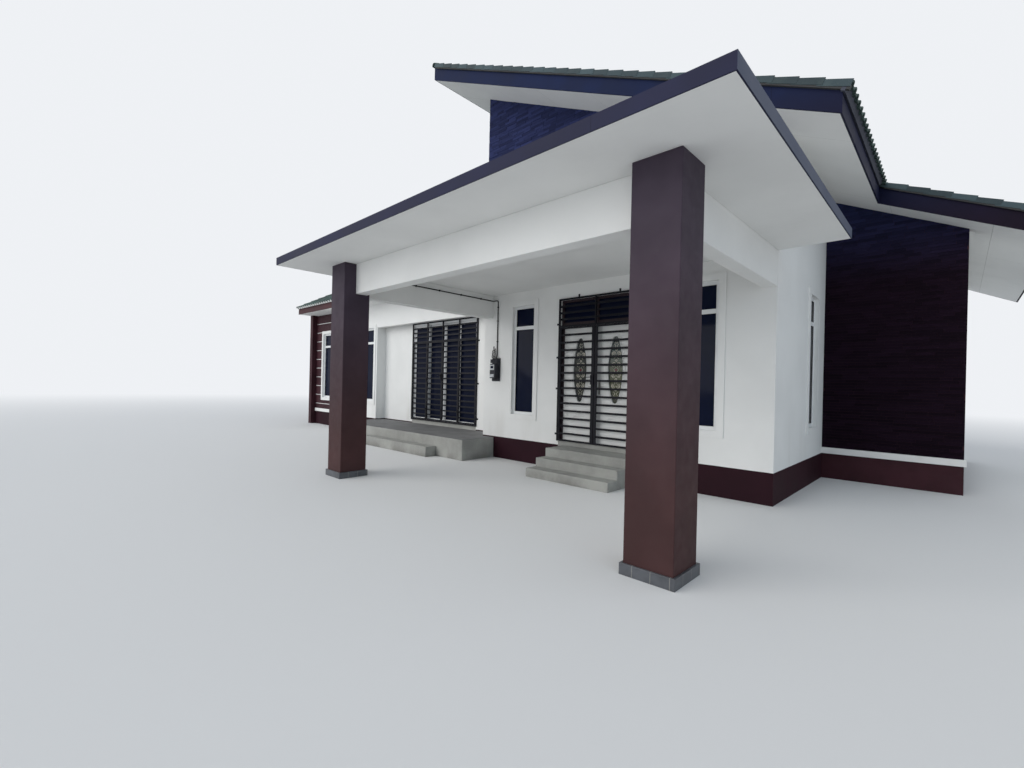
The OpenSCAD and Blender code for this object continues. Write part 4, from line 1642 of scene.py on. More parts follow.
    def build_cap(self) -> None:
        """Lays the caps along the roof's high edge."""
        shell = Shell()
        thick, reach, drop, radius = 0.014, 0.215, 0.03, 0.045
        lift = self.shape.bed + self.shape.roll_h + self.shape.thick + 0.006
        outer: list[tuple[float, float]] = [(reach, lift + 0.016)]
        inner: list[tuple[float, float]] = [(reach, lift + 0.016 - thick)]
        corner = (0.01, lift + 0.004)
        turn = math.pi / 2 + self.pitch
        for i in range(7):
            t = math.pi / 2 + turn * i / 6
            ahead = (math.cos(t), math.sin(t))
            middle = (corner[0] + radius * 0.2, corner[1] - radius + thick)
            outer.append((middle[0] + ahead[0] * radius, middle[1] + ahead[1] * radius))
            inner.append((middle[0] + ahead[0] * (radius - thick),
                          middle[1] + ahead[1] * (radius - thick)))
        down = (math.sin(self.pitch) * drop, -math.cos(self.pitch) * drop)
        outer.append((outer[-1][0] + down[0], outer[-1][1] + down[1]))
        inner.append((inner[-1][0] + down[0], inner[-1][1] + down[1]))
        shell.prism(outer + inner[::-1], Axis.Y, 0.0, self.cap_gauge + 0.012)
        count = math.ceil((self.back - self.front) / self.cap_gauge)
        cap = part("edge_cap", shell)
        RowOf("high_edge_caps", cap, count, (self.back - self.front) / count,
              self.slope(self.front)).build()


@dataclass
class RowOf:
    """A roof cap repeated along its own y, each copy tilted a little so that it laps the next."""

    name: str
    part: bpy.types.Object
    count: int
    step: float
    place: Matrix
    tilt: float = 0.01
    play: float = 0.0015
    seed: int = 5

    def build(self) -> None:
        """Sets out the row as one piece with a node tree."""
        sizes = {"Part": self.part, "Count": self.count, "Step": self.step}
        sizes |= {"Tilt": self.tilt, "Seed": self.seed}
        form = NodeForm(self.name, sizes)
        number = form.graph.add("GeometryNodeInputIndex")
        wobble = form.chance(-self.play, self.play, form.size("Seed"))
        spot = form.graph.vector(wobble, number * form.size("Step"), wobble)
        turn = form.graph.vector(form.size("Tilt"), 0.0, 0.0)
        row = form.copies(form.size("Count"), spot, form.object("Part"), turn)
        form.piece(row, TILES, self.place)


@dataclass
class LowRoof:
    """Covering of the low double-slope roof, its ridge and the flashing against the high wall."""

    pitch: float = math.radians(28.0)
    left: float = -15.40
    right: float = -5.85
    front: float = -0.36
    back: float = 9.02
    ridge_y: float = 4.33
    eave_top: float = 4.0881
    columns: int = 29
    courses: int = 18
    first: float = 0.26
    ridge_caps: int = 23

    @property
    def fall(self) -> float:
        """Fall of either slope per metre."""
        return math.tan(self.pitch)

    @property
    def rise(self) -> float:
        """Height of the ridge over the eaves."""
        return (self.ridge_y - self.front) * self.fall

    @property
    def ridge_top(self) -> float:
        """Height of the boards at the ridge."""
        return self.eave_top + self.rise

    def slope(self, back: bool) -> Matrix:
        """Gives the frame of one slope: x down it from the ridge, y along, z off it.

        Args:
            back: Whether it is the rear slope.

        Returns:
            The frame.
        """
        turn, start = (math.pi / 2, self.right) if back else (-math.pi / 2, self.left)
        lean = Matrix.Rotation(turn, 4, "Z") @ Matrix.Rotation(self.pitch, 4, "Y")
        return Matrix.Translation((start, self.ridge_y, self.ridge_top)) @ lean

    def profile(self, level: float, inside: float = 0.0) -> list[tuple[float, float]]:
        """Draws a line up the front slope and down the back one.

        Args:
            level: Its height over the eaves.
            inside: How far inside the eaves it starts and ends.

        Returns:
            The y and z of its three points.
        """
        foot = level + inside * self.fall
        return [(self.front + inside, foot), (self.ridge_y, level + self.rise),
                (self.back - inside, foot)]

    def build(self) -> None:
        """Lays both slopes, the ridge, the mortar, the flashing and the covers of cut ends."""
        length = (self.ridge_y - self.front) / math.cos(self.pitch)
        cover = (self.right - self.left) / self.columns
        gauge = (length - self.first) / (self.courses - 1)
        shape = TileShape(roll_pitch=cover / 2)
        tile, stop = shape.build("low_tile"), shape.stop("low_eave_mortar", 0.0)
        sides = (("front", False, ["low_roof_tiles"]), ("back", True, []))
        for side, back, stands_for in sides:
            TileField(f"low_tiles_{side}", tile, self.courses, self.columns, self.first, gauge,
                      cover, self.slope(back), stands_for).build()
        # The eave mortar is white plaster: partly real white pointing at the rolls' ends, partly
        # a painted highlight for the sunlit rolls of the first course
        for side, back, _ in sides:
            TileField(f"low_mortar_{side}", stop, 1, self.columns, length, gauge, cover,
                      self.slope(back), finish=PLASTER).build()
        self.build_ridge()
        self.build_flashing()
        self.build_party_edge(shape.bed + shape.thick)
        self.build_end_board()

    def build_end_board(self) -> None:
        """Closes the eave's cut end beside the high wall with a board."""
        shell = Shell()
        front, rear, foot, proud = -0.300, -0.001, 3.92, 0.018
        slope = [(y, self.eave_top + (y - self.front) * self.fall + proud)
                 for y in (rear, front)]
        shell.prism([(front, foot), (rear, foot), *slope], Axis.X,
                    self.right + 0.0005, self.right + 0.012)
        shell.piece("low_eave_end_board", LOW_BOARDS)

    def build_party_edge(self, tall: float) -> None:
        """Covers the roof's cut end at the party line with plaster.

        Args:
            tall: How high it reaches over the boards.
        """
        shell = Shell()
        inside, deep, proud, lap = 0.055, 0.215, 0.012, 0.004
        low = self.profile(self.eave_top - deep, inside)
        high = self.profile(self.eave_top + tall, inside)
        shell.prism(low + high[::-1], Axis.X, self.left - proud, self.left + lap)
        shell.piece("party_edge", PLASTER)

    def build_ridge(self) -> None:
        """Lays half-round caps along the ridge."""
        shell = Shell()
        outer, thick, steps, lap, sunk = 0.135, 0.014, 12, 0.03, 0.055
        span = math.radians(152)
        turns = [math.pi / 2 + span / 2 - span * i / steps for i in range(steps + 1)]
        ring = [(math.cos(t) * outer, math.sin(t) * outer) for t in turns]
        ring += [(math.cos(t) * (outer - thick), math.sin(t) * (outer - thick))
                 for t in reversed(turns)]
        step = (self.right - self.left) / self.ridge_caps
        shell.prism(ring, Axis.Y, 0.0, step + lap)
        spot = Matrix.Translation((self.right, self.ridge_y, self.ridge_top - sunk))
        RowOf("ridge_caps", part("ridge_cap", shell), self.ridge_caps, step,
              spot @ Matrix.Rotation(math.pi / 2, 4, "Z"), 0.012).build()

    def build_flashing(self) -> None:
        """Dresses metal over the tiles where they meet the high wall."""
        shell = Shell()
        thick, wide, tall, gap = 0.004, 0.16, 0.14, 0.012
        foot = self.eave_top + 0.075
        for high, near, far in ((tall, gap, gap - thick), (thick, wide, gap + 0.0005)):
            outline = self.profile(foot) + self.profile(foot + high)[::-1]
            shell.prism(outline, Axis.X, self.right - near, self.right - far)
        shell.piece("wall_flashing", STEEL)


# Walls


@dataclass
class SlipWall:
    """Thin stone slips laid in courses on one wall, cut at its ends and under the roof.

    The wall's own frame has x along it, y out of it and z up. A roof may lean on the wall below
    the slips: its ridge is then at ridge_x and ridge_z, and it falls both ways by lean.
    """

    name: str
    length: float
    bottom: float
    top_start: float
    top_end: float
    place: Matrix
    seed: int = 4
    ridge_x: float = 0.0
    ridge_z: float = -100.0
    lean: float = 0.0
    course: float = 0.052
    slip: float = 0.30
    gap: float = 0.003

    def slip_part(self) -> bpy.types.Object:
        """Makes one slip of unit length and depth with its front edges eased.

        Returns:
            The object for a node tree to copy.
        """
        shell = Shell()
        high, ease, side, edge, sunk = self.course - self.gap, 0.12, 0.012, 0.003, 0.4
        ring = [(0.0, 0.0), (1.0, 0.0), (1.0, high), (0.0, high)]
        inset = [(side, edge), (1 - side, edge), (1 - side, high - edge), (side, high - edge)]
        points = [(x, -sunk, z) for x, z in ring] + [(x, 1.0 - ease, z) for x, z in ring]
        points += [(x, 1.0, z) for x, z in inset]
        faces: list[Sequence[int]] = [[0, 1, 2, 3], [8, 9, 10, 11]]
        for base in (0, 4):
            for i in range(4):
                j = (i + 1) % 4
                faces.append([base + i, base + j, base + j + 4, base + i + 4])
        shell.solid(points, faces)
        return part("stone_slip", shell)

    def build(self) -> None:
        """Lays the slips as one piece with a node tree."""
        peak = max(self.top_start, self.top_end)
        rows = math.ceil((peak - self.bottom) / self.course)
        columns = math.ceil(self.length / self.slip) + 2
        sizes = {"Slip": self.slip_part(), "Rows": rows, "Columns": columns}
        sizes |= {"Course": self.course, "Length": self.slip, "Wall": self.length}
        sizes |= {"Fall": (self.top_start - self.top_end) / self.length}
        sizes |= {"Top": self.top_start, "Bottom": self.bottom, "Seed": self.seed}
        sizes |= {"Ridge along": self.ridge_x, "Ridge": self.ridge_z, "Lean": self.lean}
        form = NodeForm(self.name, sizes)
        graph, size = form.graph, form.size
        number = graph.add("GeometryNodeInputIndex")
        row = (number / size("Columns")).floor()
        column = number - row * size("Columns")
        shift = form.chance(-1.0, 0.0, size("Seed"), row)
        ends: list[Sock] = []
        for step in (0.0, 1.0):
            key = row * 500.0 + column + step
            loose = form.chance(-0.32, 0.32, size("Seed") + 2.0, key)
            place = (column + step + shift + loose - 0.4) * size("Length")
            ends.append(place.most(0.0).least(size("Wall")))
        start, end = ends
        level = size("Bottom") + row * size("Course")
        high = level + size("Course")
        wide = (end - start - self.gap).most(0.0)
        over = [abs(end_x - size("Ridge along")) for end_x in (start, end)]
        roof = size("Ridge") - over[0].most(over[1]) * size("Lean")
        tops = [size("Top") - end_x * size("Fall") for end_x in (start, end)]
        under = tops[0].most(tops[1]) > level + 0.004
        keep = under * (wide > 0.02) * (high > roof)
        proud = form.chance(0.007, 0.016, size("Seed") + 9.0)
        spot = graph.vector(start, 0.0, level)
        scale = graph.vector(wide, proud, 1.0)
        count = size("Rows") * size("Columns")
        laid = form.copies(count, spot, form.object("Slip"), scale=scale, keep=keep)
        form.piece(laid, SLIPS, self.place)


@dataclass
class Walls:
    """Paint, plinths, slips and grooved panels of every wall."""

    white: Sequence[str] = (
        "living_wall_right", "living_wall_left", "living_wall_lintel", "living_side_wall",
        "wing_side_wall", "terrace_return_wall", "terrace_wall_left", "terrace_wall_right",
        "terrace_wall_lintel", "bay_side_wall", "bay_striped_wall", "bay_white_wall",
        "terrace_beam", "back_wall_high", "back_wall_low",
    )
    groove_z: float = 0.74
    groove_pitch: float = 0.318
    groove_w: float = 0.024
    grooves: int = 11
    panel_t: float = 0.012
    panel_x: tuple[float, float] = (-15.2, -13.34)
    panel_z: tuple[float, float] = (0.566, 3.918)
    window_x: tuple[float, float] = (-14.75, -13.95)
    window_z: tuple[float, float] = (0.87, 3.32)
    bay_face: float = 0.3
    living_w: float = 5.85
    wing_w: float = 1.9
    wing_face: float = 3.15
    depth: float = 8.43

    def build(self) -> None:
        """Dresses the walls and adds their slips and panels."""
        for node in self.white:
            dress(node, PLASTER)
        for node in ("wing_front_wall", "party_wall"):
            dress(node, RENDER)
        for node in ("upper_front_wall", "upper_side_wall"):
            dress(node, CORNER_RENDER)
        soften("ledge_bands", PLASTER, 0.004)
        self.build_slips()
        self.build_panels()

    def build_slips(self) -> None:
        """Lays the slips on the three clad walls."""
        roof, low = HighRoof(), LowRoof()
        fall = math.tan(roof.pitch)
        outward = Matrix.Rotation(math.pi, 4, "Z")
        top = roof.soffit + self.living_w * fall
        SlipWall("upper_front_slips", self.living_w, 3.64, roof.soffit, top, outward).build()
        wing = Matrix.Translation((self.wing_w, self.wing_face, 0.0)) @ outward
        SlipWall("wing_slips", self.wing_w, self.panel_z[0], roof.soffit - self.wing_w * fall,
                 roof.soffit, wing, 8).build()
        side = Matrix.Translation((-self.living_w, 0.0, 0.0)) @ QUARTER
        SlipWall("upper_side_slips", self.depth, 4.25, top, top, side, 15, low.ridge_y,
                 low.ridge_top + 0.05, low.fall).build()

    def build_panels(self) -> None:
        """Lays dark panels between the white grooves of the bay's wall."""
        shell = Shell()
        (left, right), window = self.panel_x, self.window_z
        levels = [self.panel_z[0]]
        levels += [self.groove_z + i * self.groove_pitch for i in range(self.grooves)]
        for low, high in zip(levels, levels[1:]):
            start = low + (self.groove_w / 2 if low > self.panel_z[0] else 0.0)
            end = min(high - self.groove_w / 2, self.panel_z[1])
            cuts = [start, *(level for level in window if start < level < end), end]
            for bottom, top in zip(cuts, cuts[1:]):
                beside = window[0] < (bottom + top) / 2 < window[1]
                spans = ([(left, self.window_x[0]), (self.window_x[1], right)] if beside
                         else [(left, right)])
                for a, b in spans:
                    shell.block((a, self.bay_face - self.panel_t, bottom),
                                (b, self.bay_face + LET_IN, top))
        shell.piece("bay_panels", RENDER, bevel=0.003)


# Porch and steps


@dataclass
class Porch:
    """Car porch: slab, edge board, beams and columns."""

    def build(self) -> None:
        """Dresses the porch and rounds its edges."""
        dress("porch_slab", PLASTER)
        dress("porch_edge_board", BOARDS)
        soften("porch_beams", PLASTER, 0.006)
        soften("porch_columns", COLUMN, 0.008)
        soften("column_skirts", SKIRT, 0.003)


@dataclass
class Steps:
    """Entrance steps, terrace platform, its step and the floors."""

    step_near: Point = (-9.075, -1.18, 0.0)
    step_far: Point = (-6.36, -0.90, 0.215)

    def build(self) -> None:
        """Dresses them in cement and rounds their edges."""
        soften("entrance_steps", CEMENT, 0.009)
        self.build_terrace_step()
        soften("terrace_platform", PLATFORM, 0.009)
        for node in ("floor_slab", "door_sills"):
            dress(node, CEMENT)

    def build_terrace_step(self) -> None:
        """Runs the low step on to where it ends in the photograph, past its CAD node."""
        shell = Shell()
        shell.block(self.step_near, self.step_far)
        shell.piece("terrace_step_long", CEMENT, bevel=0.009, stands_for=["terrace_step"])


@dataclass
class RoofBoards:
    """Soffits, decks and edge boards of both roofs."""

    def build(self) -> None:
        """Dresses the boards."""
        for node in ("high_roof_soffit", "low_roof_soffit"):
            dress(node, SOFFIT)
        dress("high_roof_fascia", HIGH_BOARDS)
        dress("low_roof_fascia", LOW_BOARDS)
        for node in ("high_roof_deck", "low_roof_deck"):
            dress(node, TIMBER)


# Windows and doors


@dataclass
class Opening:
    """A window in its wall's own frame, where x runs along the wall and y into it."""

    left: float
    width: float
    lights: int = 1
    face: float = 0.0
    place: Matrix = field(default_factory=lambda: Matrix.Identity(4))
    inset: float = 0.045


@dataclass
class Windows:
    """Window frames with sashes, seals, handles and sills."""

    frame_w: float = 0.05
    frame_d: float = 0.07
    sill: float = 0.97
    transom: float = 2.74
    head: float = 3.22
    sash_w: float = 0.010
    sash_d: float = 0.03
    seal_w: float = 0.005
    grip_z: float = 1.75

    def openings(self) -> list[Opening]:
        """Lists every window.

        Returns:
            The windows of all walls.
        """
        walls, narrow, wide = Walls(), 0.6, 1.15
        side = Matrix.Translation((0.0, 1.95, 0.0)) @ QUARTER
        wing = Matrix.Translation((walls.wing_w, 5.215, 0.0)) @ QUARTER
        found = [
            Opening(-1.37, narrow), Opening(-4.99, narrow),
            Opening(-14.65, narrow, face=walls.bay_face),
            Opening(-12.3, wide, 2, walls.bay_face),
            Opening(0.0, narrow, place=side), Opening(0.0, wide, 2, place=wing),
        ]
        for x in (0.3, 3.2, 7.6, 12.5):
            rear = Matrix.Translation((-x, walls.depth, 0.0)) @ QUARTER @ QUARTER
            found.append(Opening(0.0, wide, 2, place=rear, inset=0.035))
        return found

    def build(self) -> None:
        """Dresses the frames and glass and adds sashes, seals and handles."""
        for node in ("front_windows", "side_windows", "back_windows"):
            dress(node, FRAMES)
        dress("window_glass", GLASS)
        sashes, seals, handles = Shell(), Shell(), Shell()
        for opening in self.openings():
            self.fit(opening, sashes, seals, handles)
        sashes.piece("window_sashes", FRAMES, bevel=0.002)
        seals.piece("window_seals", RUBBER)
        handles.piece("window_handles", SATIN, bevel=0.002)

    def fit(self, opening: Opening, sashes: Shell, seals: Shell, handles: Shell) -> None:
        """Adds the sashes of one window.

        Args:
            opening: The window.
            sashes: Collects the sash bars.
            seals: Collects the rubber seals.
            handles: Collects the handles.
        """
        frame_w, sash_w, place = self.frame_w, self.sash_w, opening.place
        pitch = (opening.width - frame_w) / opening.lights
        outer = opening.face + opening.inset
        turn = (place @ QUARTER @ QUARTER).to_3x3().to_4x4()
        for i in range(opening.lights):
            x0 = opening.left + frame_w + i * pitch
            x1 = x0 + pitch - frame_w
            for z0, z1 in ((self.sill + frame_w, self.transom),
                           (self.transom + frame_w, self.head - frame_w)):
                face = outer - 0.004
                sashes.bars((x0, z0), (x1, z1), face, self.sash_d, sash_w, place)
                seals.bars((x0 + sash_w, z0 + sash_w), (x1 - sash_w, z1 - sash_w),
                           face + 0.010, 0.014, self.seal_w, place)
            grip = x0 + sash_w / 2 if i else x1 - sash_w / 2
            spot = place @ Vector((grip, outer + self.frame_d, self.grip_z))
            self.lever(handles, Matrix.Translation(spot) @ turn)

    def lever(self, shell: Shell, place: Matrix) -> None:
        """Adds a small lever handle.

        Args:
            shell: Where it goes.
            place: Frame of the middle of its rose.
        """
        first = len(shell.mesh.verts)
        rose, neck, half = 0.011, 0.012, 0.007
        shell.block((-rose, -0.008, -0.03), (rose, 0.0, 0.03))
        shell.block((-half, -0.02, -neck), (half, -0.006, 0.01))
        shell.block((-half, -0.014 - neck, -0.09), (half, -0.014, 0.01))
        shell.move(first, place)


@dataclass
class MainDoor:
    """Double door with shaped leaded glass, mouldings, carving and handles."""

    leaf_w: float = 0.745
    face: float = 0.075
    bottom: float = 0.535
    top: float = 2.735
    lens_h: float = 1.19
    lens_w: float = 0.30
    lens_tip: float = 0.0535
    mould_w: float = 0.014
    foot_rail: float = 0.06
    arcs: int = 3
    arcs_z: float = 0.93
    lock_rise: float = 1.02

    def outline(self, grow: float = 0.0) -> list[tuple[float, float]]:
        """Draws the glass's edge about its middle: two long arcs and two small round ends.

        Args:
            grow: How far outside the glass the line runs.

        Returns:
            Offsets in x and z, going round once.
        """
        half, tip = self.lens_w / 2 + grow, self.lens_tip + grow
        rise = self.lens_h / 2 - self.lens_tip
        radius = (rise**2 + half**2 - tip**2) / (2 * (half - tip))
        reach = math.asin(rise / (radius - tip))
        quarter: list[tuple[float, float]] = []
        for i in range(11):
            t = reach * i / 10
            quarter.append((half - radius + radius * math.cos(t), radius * math.sin(t)))
        for i in range(1, 5):
            t = reach + (math.pi / 2 - reach) * i / 4
            quarter.append((tip * math.cos(t), rise + tip * math.sin(t)))
        upper = quarter + [(-x, z) for x, z in reversed(quarter[:-1])]
        return upper + [(x, -z) for x, z in reversed(upper[1:-1])]

    def build(self) -> None:
        """Dresses the doors and adds their mouldings and ironmongery."""
        dress("door_frame", DARK_JOINERY)
        for side, middle in zip(("left", "right"), DOOR_MIDDLES):
            dress(f"door_leaf_{side}", JOINERY)
            dress(f"door_lens_{side}", LEADED)
            self.mould(side, middle)

    def mould(self, side: str, middle: float) -> None:
        """Adds one leaf's mouldings, carved panel and handle.

        Args:
            side: Name of the leaf's side.
            middle: Its middle in x.
        """
        body = f"door_{side}"
        shell = Shell()
        back = self.face + LET_IN
        for grow, wide, proud in ((0.0, 0.016, 0.012), (0.034, 0.012, 0.007)):
            shell.ring((middle, 0.0, LENS_Z), self.outline(grow), wide, self.face - proud, back)
        half = self.leaf_w / 2
        for inset, proud in ((0.085, 0.007), (0.115, 0.004)):
            low, high = self.bottom + inset + self.foot_rail, self.top - inset
            wide, tall = half - inset - self.mould_w, (high - low) / 2 - self.mould_w
            frame = [(-wide, -tall), (wide, -tall), (wide, tall), (-wide, tall)]
            shell.ring((middle, 0.0, (low + high) / 2), frame, self.mould_w * math.sqrt(2.0),
                       self.face - proud, back)
        for turn in range(self.arcs):
            wide, tall = 0.2 - 0.05 * turn, 0.1 * (1 - 0.2 * turn)
            foot = self.arcs_z + 0.045 * turn
            arc = [(middle + wide * math.sin(t), self.face - 0.004, foot + tall * math.cos(t))
                   for t in (math.pi * (i / 12 - 0.5) for i in range(13))]
            shell.rod(arc, 0.007, 8)
        shell.piece(f"door_mouldings_{side}", JOINERY, body, bevel=0.0015, smooth=True)
        self.handle(side, middle, body)

    def handle(self, side: str, middle: float, body: str) -> None:
        """Adds one leaf's plate and lever.

        Args:
            side: Name of the leaf's side.
            middle: Its middle in x.
            body: The body that it moves with.
        """
        sign = 1.0 if side == "left" else -1.0
        x = middle + sign * (self.leaf_w / 2 - 0.045)
        z = self.bottom + self.lock_rise
        face, grip, key = self.face, z + 0.03, z - 0.05
        shell = Shell()
        shell.block((x - 0.02, face - 0.005, z - 0.11), (x + 0.02, face, z + 0.11))
        shell.rod([(x, face - 0.003, grip), (x, face - 0.03, grip),
                   (x - sign * 0.01, face - 0.036, grip),
                   (x - sign * 0.11, face - 0.037, grip - 0.003)], 0.008)
        shell.rod([(x, face - 0.009, key), (x, face - 0.004, key)], 0.011, 16)
        shell.piece(f"door_handle_{side}", SATIN, body, bevel=0.0015, smooth=True)


@dataclass
class SecurityGrilles:
    """Steel grilles with their wall lugs, lock box, handles and drop bolts."""

    door_sides: Sequence[tuple[float, float]] = ((-3.755, -1.0), (-2.095, 1.0))
    door_lugs: Sequence[float] = (0.663, 1.531, 2.127, 2.764)
    head_lugs: Sequence[float] = (-3.305, -2.443)
    head_z: tuple[float, float] = (3.245, 3.30)
    terrace_side: float = -6.735
    terrace_face: float = 0.6
    terrace_lugs: Sequence[float] = (0.715, 1.585, 2.65)
    lug_long: float = 0.055
    lug_t: float = 0.006
    lock: Point = (-2.962, -0.05, 1.755)
    bolts: Sequence[float] = (-8.767, -7.417)
    bolt_y: float = 0.545
    handle: Point = (-8.165, 0.55, 1.78)

    def build(self) -> None:
        """Dresses the grilles and adds their ironmongery."""
        for node in ("grille_frame", "grille_leaf_left", "grille_leaf_right", "terrace_grille"):
            dress(node, STEEL)
        self.build_lugs()
        self.build_lock()
        self.build_bolts()

    def build_lugs(self) -> None:
        """Adds the fixing lugs that hold the frames to the walls."""
        shell = Shell()
        half, thick, face = 0.018, self.lug_t, self.terrace_face
        for z in self.door_lugs:
            for x, way in self.door_sides:
                low, high = sorted((x, x + way * self.lug_long))
                shell.block((low, -thick, z - half), (high, 0.0, z + half))
                bolt = x + way * 0.035
                shell.rod([(bolt, -0.011, z), (bolt, -0.005, z)], 0.008, 6)
        for x in self.head_lugs:
            shell.block((x - half, -thick, self.head_z[0]), (x + half, 0.0, self.head_z[1]))
        for z in self.terrace_lugs:
            shell.block((self.terrace_side, face - thick, z - 0.02),
                        (self.terrace_side + self.lug_long, face, z + 0.02))
        shell.piece("grille_lugs", STEEL, bevel=0.001)

    def build_lock(self) -> None:
        """Adds the lock box and its handle to the grille's left leaf."""
        shell = Shell()
        x, y, z = self.lock
        key = z - 0.085
        shell.block((x - 0.033, y - 0.002, z - 0.135), (x + 0.032, y + 0.02, z + 0.045))
        shell.rod([(x, y, z), (x, y - 0.025, z), (x - 0.008, y - 0.03, z),
                   (x - 0.093, y - 0.03, z - 0.003)], 0.007)
        shell.rod([(x, y - 0.008, key), (x, y, key)], 0.012, 16)
        shell.piece("grille_lock", STEEL, "grille_left", bevel=0.002, smooth=True)

    def build_bolts(self) -> None:
        """Adds drop bolts and the handle of the terrace grille."""
        shell = Shell()
        y = self.bolt_y
        for x in self.bolts:
            shell.rod([(x, y, 0.56), (x, y, 0.86), (x, y - 0.017, 0.872),
                       (x, y - 0.045, 0.872)], 0.007)
            for z in (0.62, 0.78):
                shell.block((x - 0.022, y - 0.009, z), (x + 0.022, y + 0.025, z + 0.022))
        x, front, z = self.handle
        shell.block((x - 0.025, front - 0.005, z - 0.09), (x + 0.025, front + 0.02, z + 0.05))
        shell.rod([(x, front, z), (x, front - 0.03, z), (x - 0.01, front - 0.035, z),
                   (x - 0.085, front - 0.035, z)], 0.007)
        shell.piece("terrace_grille_bolts", STEEL, bevel=0.001, smooth=True)


@dataclass
class TerraceSlider:
    """Sliding doors of the terrace: white panels with dark glass, tracks and pulls."""

    left: float = -9.49
    right: float = -6.76
    near: float = 0.635
    far: float = 0.68
    thick: float = 0.035
    panel_w: float = 0.6775
    bottom: float = 0.5553
    top: float = 3.165
    bar: float = 0.05
    seal_w: float = 0.005
    grip: tuple[float, float] = (1.55, 1.73)
    play: float = 0.005

    def build(self) -> None:
        """Makes the panels and dresses the frame."""
        dress("slider_frame", FRAMES)
        middle = (self.left + self.right) / 2
        outer = [self.left + self.bar, self.right - self.bar - self.panel_w]
        self.panels("slider_fixed_panels", outer, self.near, "body")
        self.panels("slider_leaf_left", [middle - self.play - self.panel_w], self.far,
                    "slider_left")
        self.panels("slider_leaf_right", [middle + self.play], self.far, "slider_right")

    def panels(self, node: str, starts: Sequence[float], y: float, body: str) -> None:
        """Makes the panels that stand for one node.

        Args:
            node: The node.
            starts: Left edge of each panel.
            y: Outer face.
            body: The body that they move with.
        """
        frames, panes, seals = Shell(), Shell(), Shell()
        glass, bar = y + self.thick / 2, self.bar
        for x in starts:
            end = x + self.panel_w
            low, high = (x + bar, self.bottom + bar), (end - bar, self.top - bar)
            frames.bars((x, self.bottom), (end, self.top), y, self.thick, bar)
            panes.block((low[0], glass - 0.003, low[1]), (high[0], glass + 0.003, high[1]))
            seals.bars(low, high, glass - 0.008, self.seal_w, self.seal_w)
        short = node.replace("slider_", "")
        frames.piece(f"slider_{short}_frames", FRAMES, body, 0.002, [node])
        panes.piece(f"slider_{short}_glass", GLASS, body)
        seals.piece(f"slider_{short}_seals", RUBBER, body)
        if body != "body":
            pull, inner = Shell(), body == "slider_right"
            grip = starts[0] + (bar / 2 if inner else self.panel_w - bar / 2)
            pull.block((grip - 0.012, y - 0.006, self.grip[0]), (grip + 0.012, y, self.grip[1]))
            pull.piece(f"slider_{short}_pull", SATIN, body, 0.002)


@dataclass
class Meter:
    """Meter on its board, with its wires and the conduit along the porch beam."""

    wire_r: float = 0.0055
    pipe_x: float = -5.44
    pipe_y: float = -0.016
    pipe_z: float = 3.40
    beam_x: float = -5.585
    clip: float = 0.016

    def build(self) -> None:
        """Dresses the board and adds the dial, cut-outs, wires and conduit."""
        soften("meter_board", METER, 0.006)
        self.build_fittings()
        self.build_wires()

    def build_fittings(self) -> None:
        """Adds the dial and its cover, the terminal cover and the cut-outs above the meter."""
        dial, window, cutouts = Shell(), Shell(), Shell()
        dial.block((-5.535, -0.1335, 1.89), (-5.405, -0.129, 2.005))
        dial.block((-5.53, -0.140, 1.735), (-5.41, -0.129, 1.80))
        dial.piece("meter_dial", DIAL, bevel=0.002)
        window.block((-5.51, -0.137, 1.925), (-5.43, -0.133, 1.975))
        window.piece("meter_window", GLASS, bevel=0.0015)
        for x, wide in ((-5.572, 0.07), (-5.488, 0.05), (-5.424, 0.05)):
            cutouts.block((x, -0.085, 2.045), (x + wide, -0.024, 2.125))
            middle = x + wide / 2
            cutouts.rod([(middle, -0.09, 2.085), (middle, -0.084, 2.085)], 0.016, 16)
        cutouts.piece("meter_cutouts", METER, bevel=0.0025)

    def build_wires(self) -> None:
        """Runs the wires in loose loops over the board, and the conduit up to the ceiling."""
        wires, pipe = Shell(), Shell()
        loops = ((-5.555, 0.045, 0.17), (-5.51, 0.055, 0.26), (-5.455, 0.05, 0.21))
        for i, (x, wide, tall) in enumerate(loops):
            y = -0.035 - 0.012 * i
            loop = [(x - wide / 2 * math.cos(t), y, 2.15 + tall / 2 * (1 - math.cos(2 * t)))
                    for t in (math.pi * k / 14 for k in range(15))]
            wires.rod(loop, self.wire_r, 8)
            twist = [(x + wide * 0.45 * math.sin(3 * t), y - 0.006,
                      2.13 + tall * 0.75 * t / math.pi)
                     for t in (math.pi * k / 16 for k in range(17))]
            wires.rod(twist, self.wire_r - 0.001, 8)
        for x in (-5.50, -5.47, -5.44):
            wires.rod([(x, -0.05, 1.735), (x, -0.045, 1.71), (x - 0.01, -0.03, 1.69),
                       (x - 0.012, -0.024, 1.665)], self.wire_r, 8)
        wires.piece("meter_wires", RUBBER, smooth=True)
        x, y, ceiling, beam = self.pipe_x, self.pipe_y, self.pipe_z, self.beam_x
        pipe.rod([(x, -0.036, 2.10), (x, -0.030, 2.16), (x, y, 2.22), (x, y, ceiling - 0.04),
                  (x - 0.007, y, ceiling - 0.013), (x - 0.03, y, ceiling),
                  (beam + 0.025, y, ceiling), (beam + 0.005, -0.025, ceiling),
                  (beam, -0.05, ceiling), (beam, -2.30, ceiling)], 0.011)
        for z in (2.5, 2.95, 3.25):
            pipe.block((x - self.clip, -0.030, z), (x + self.clip, 0.0, z + self.clip))
        for clip_y in (-0.4, -0.95, -1.5, -2.05):
            pipe.block((beam - 0.015, clip_y, ceiling - self.clip),
                       (beam + self.clip, clip_y + self.clip, ceiling + self.clip))
        pipe.piece("meter_conduit", RUBBER, smooth=True)


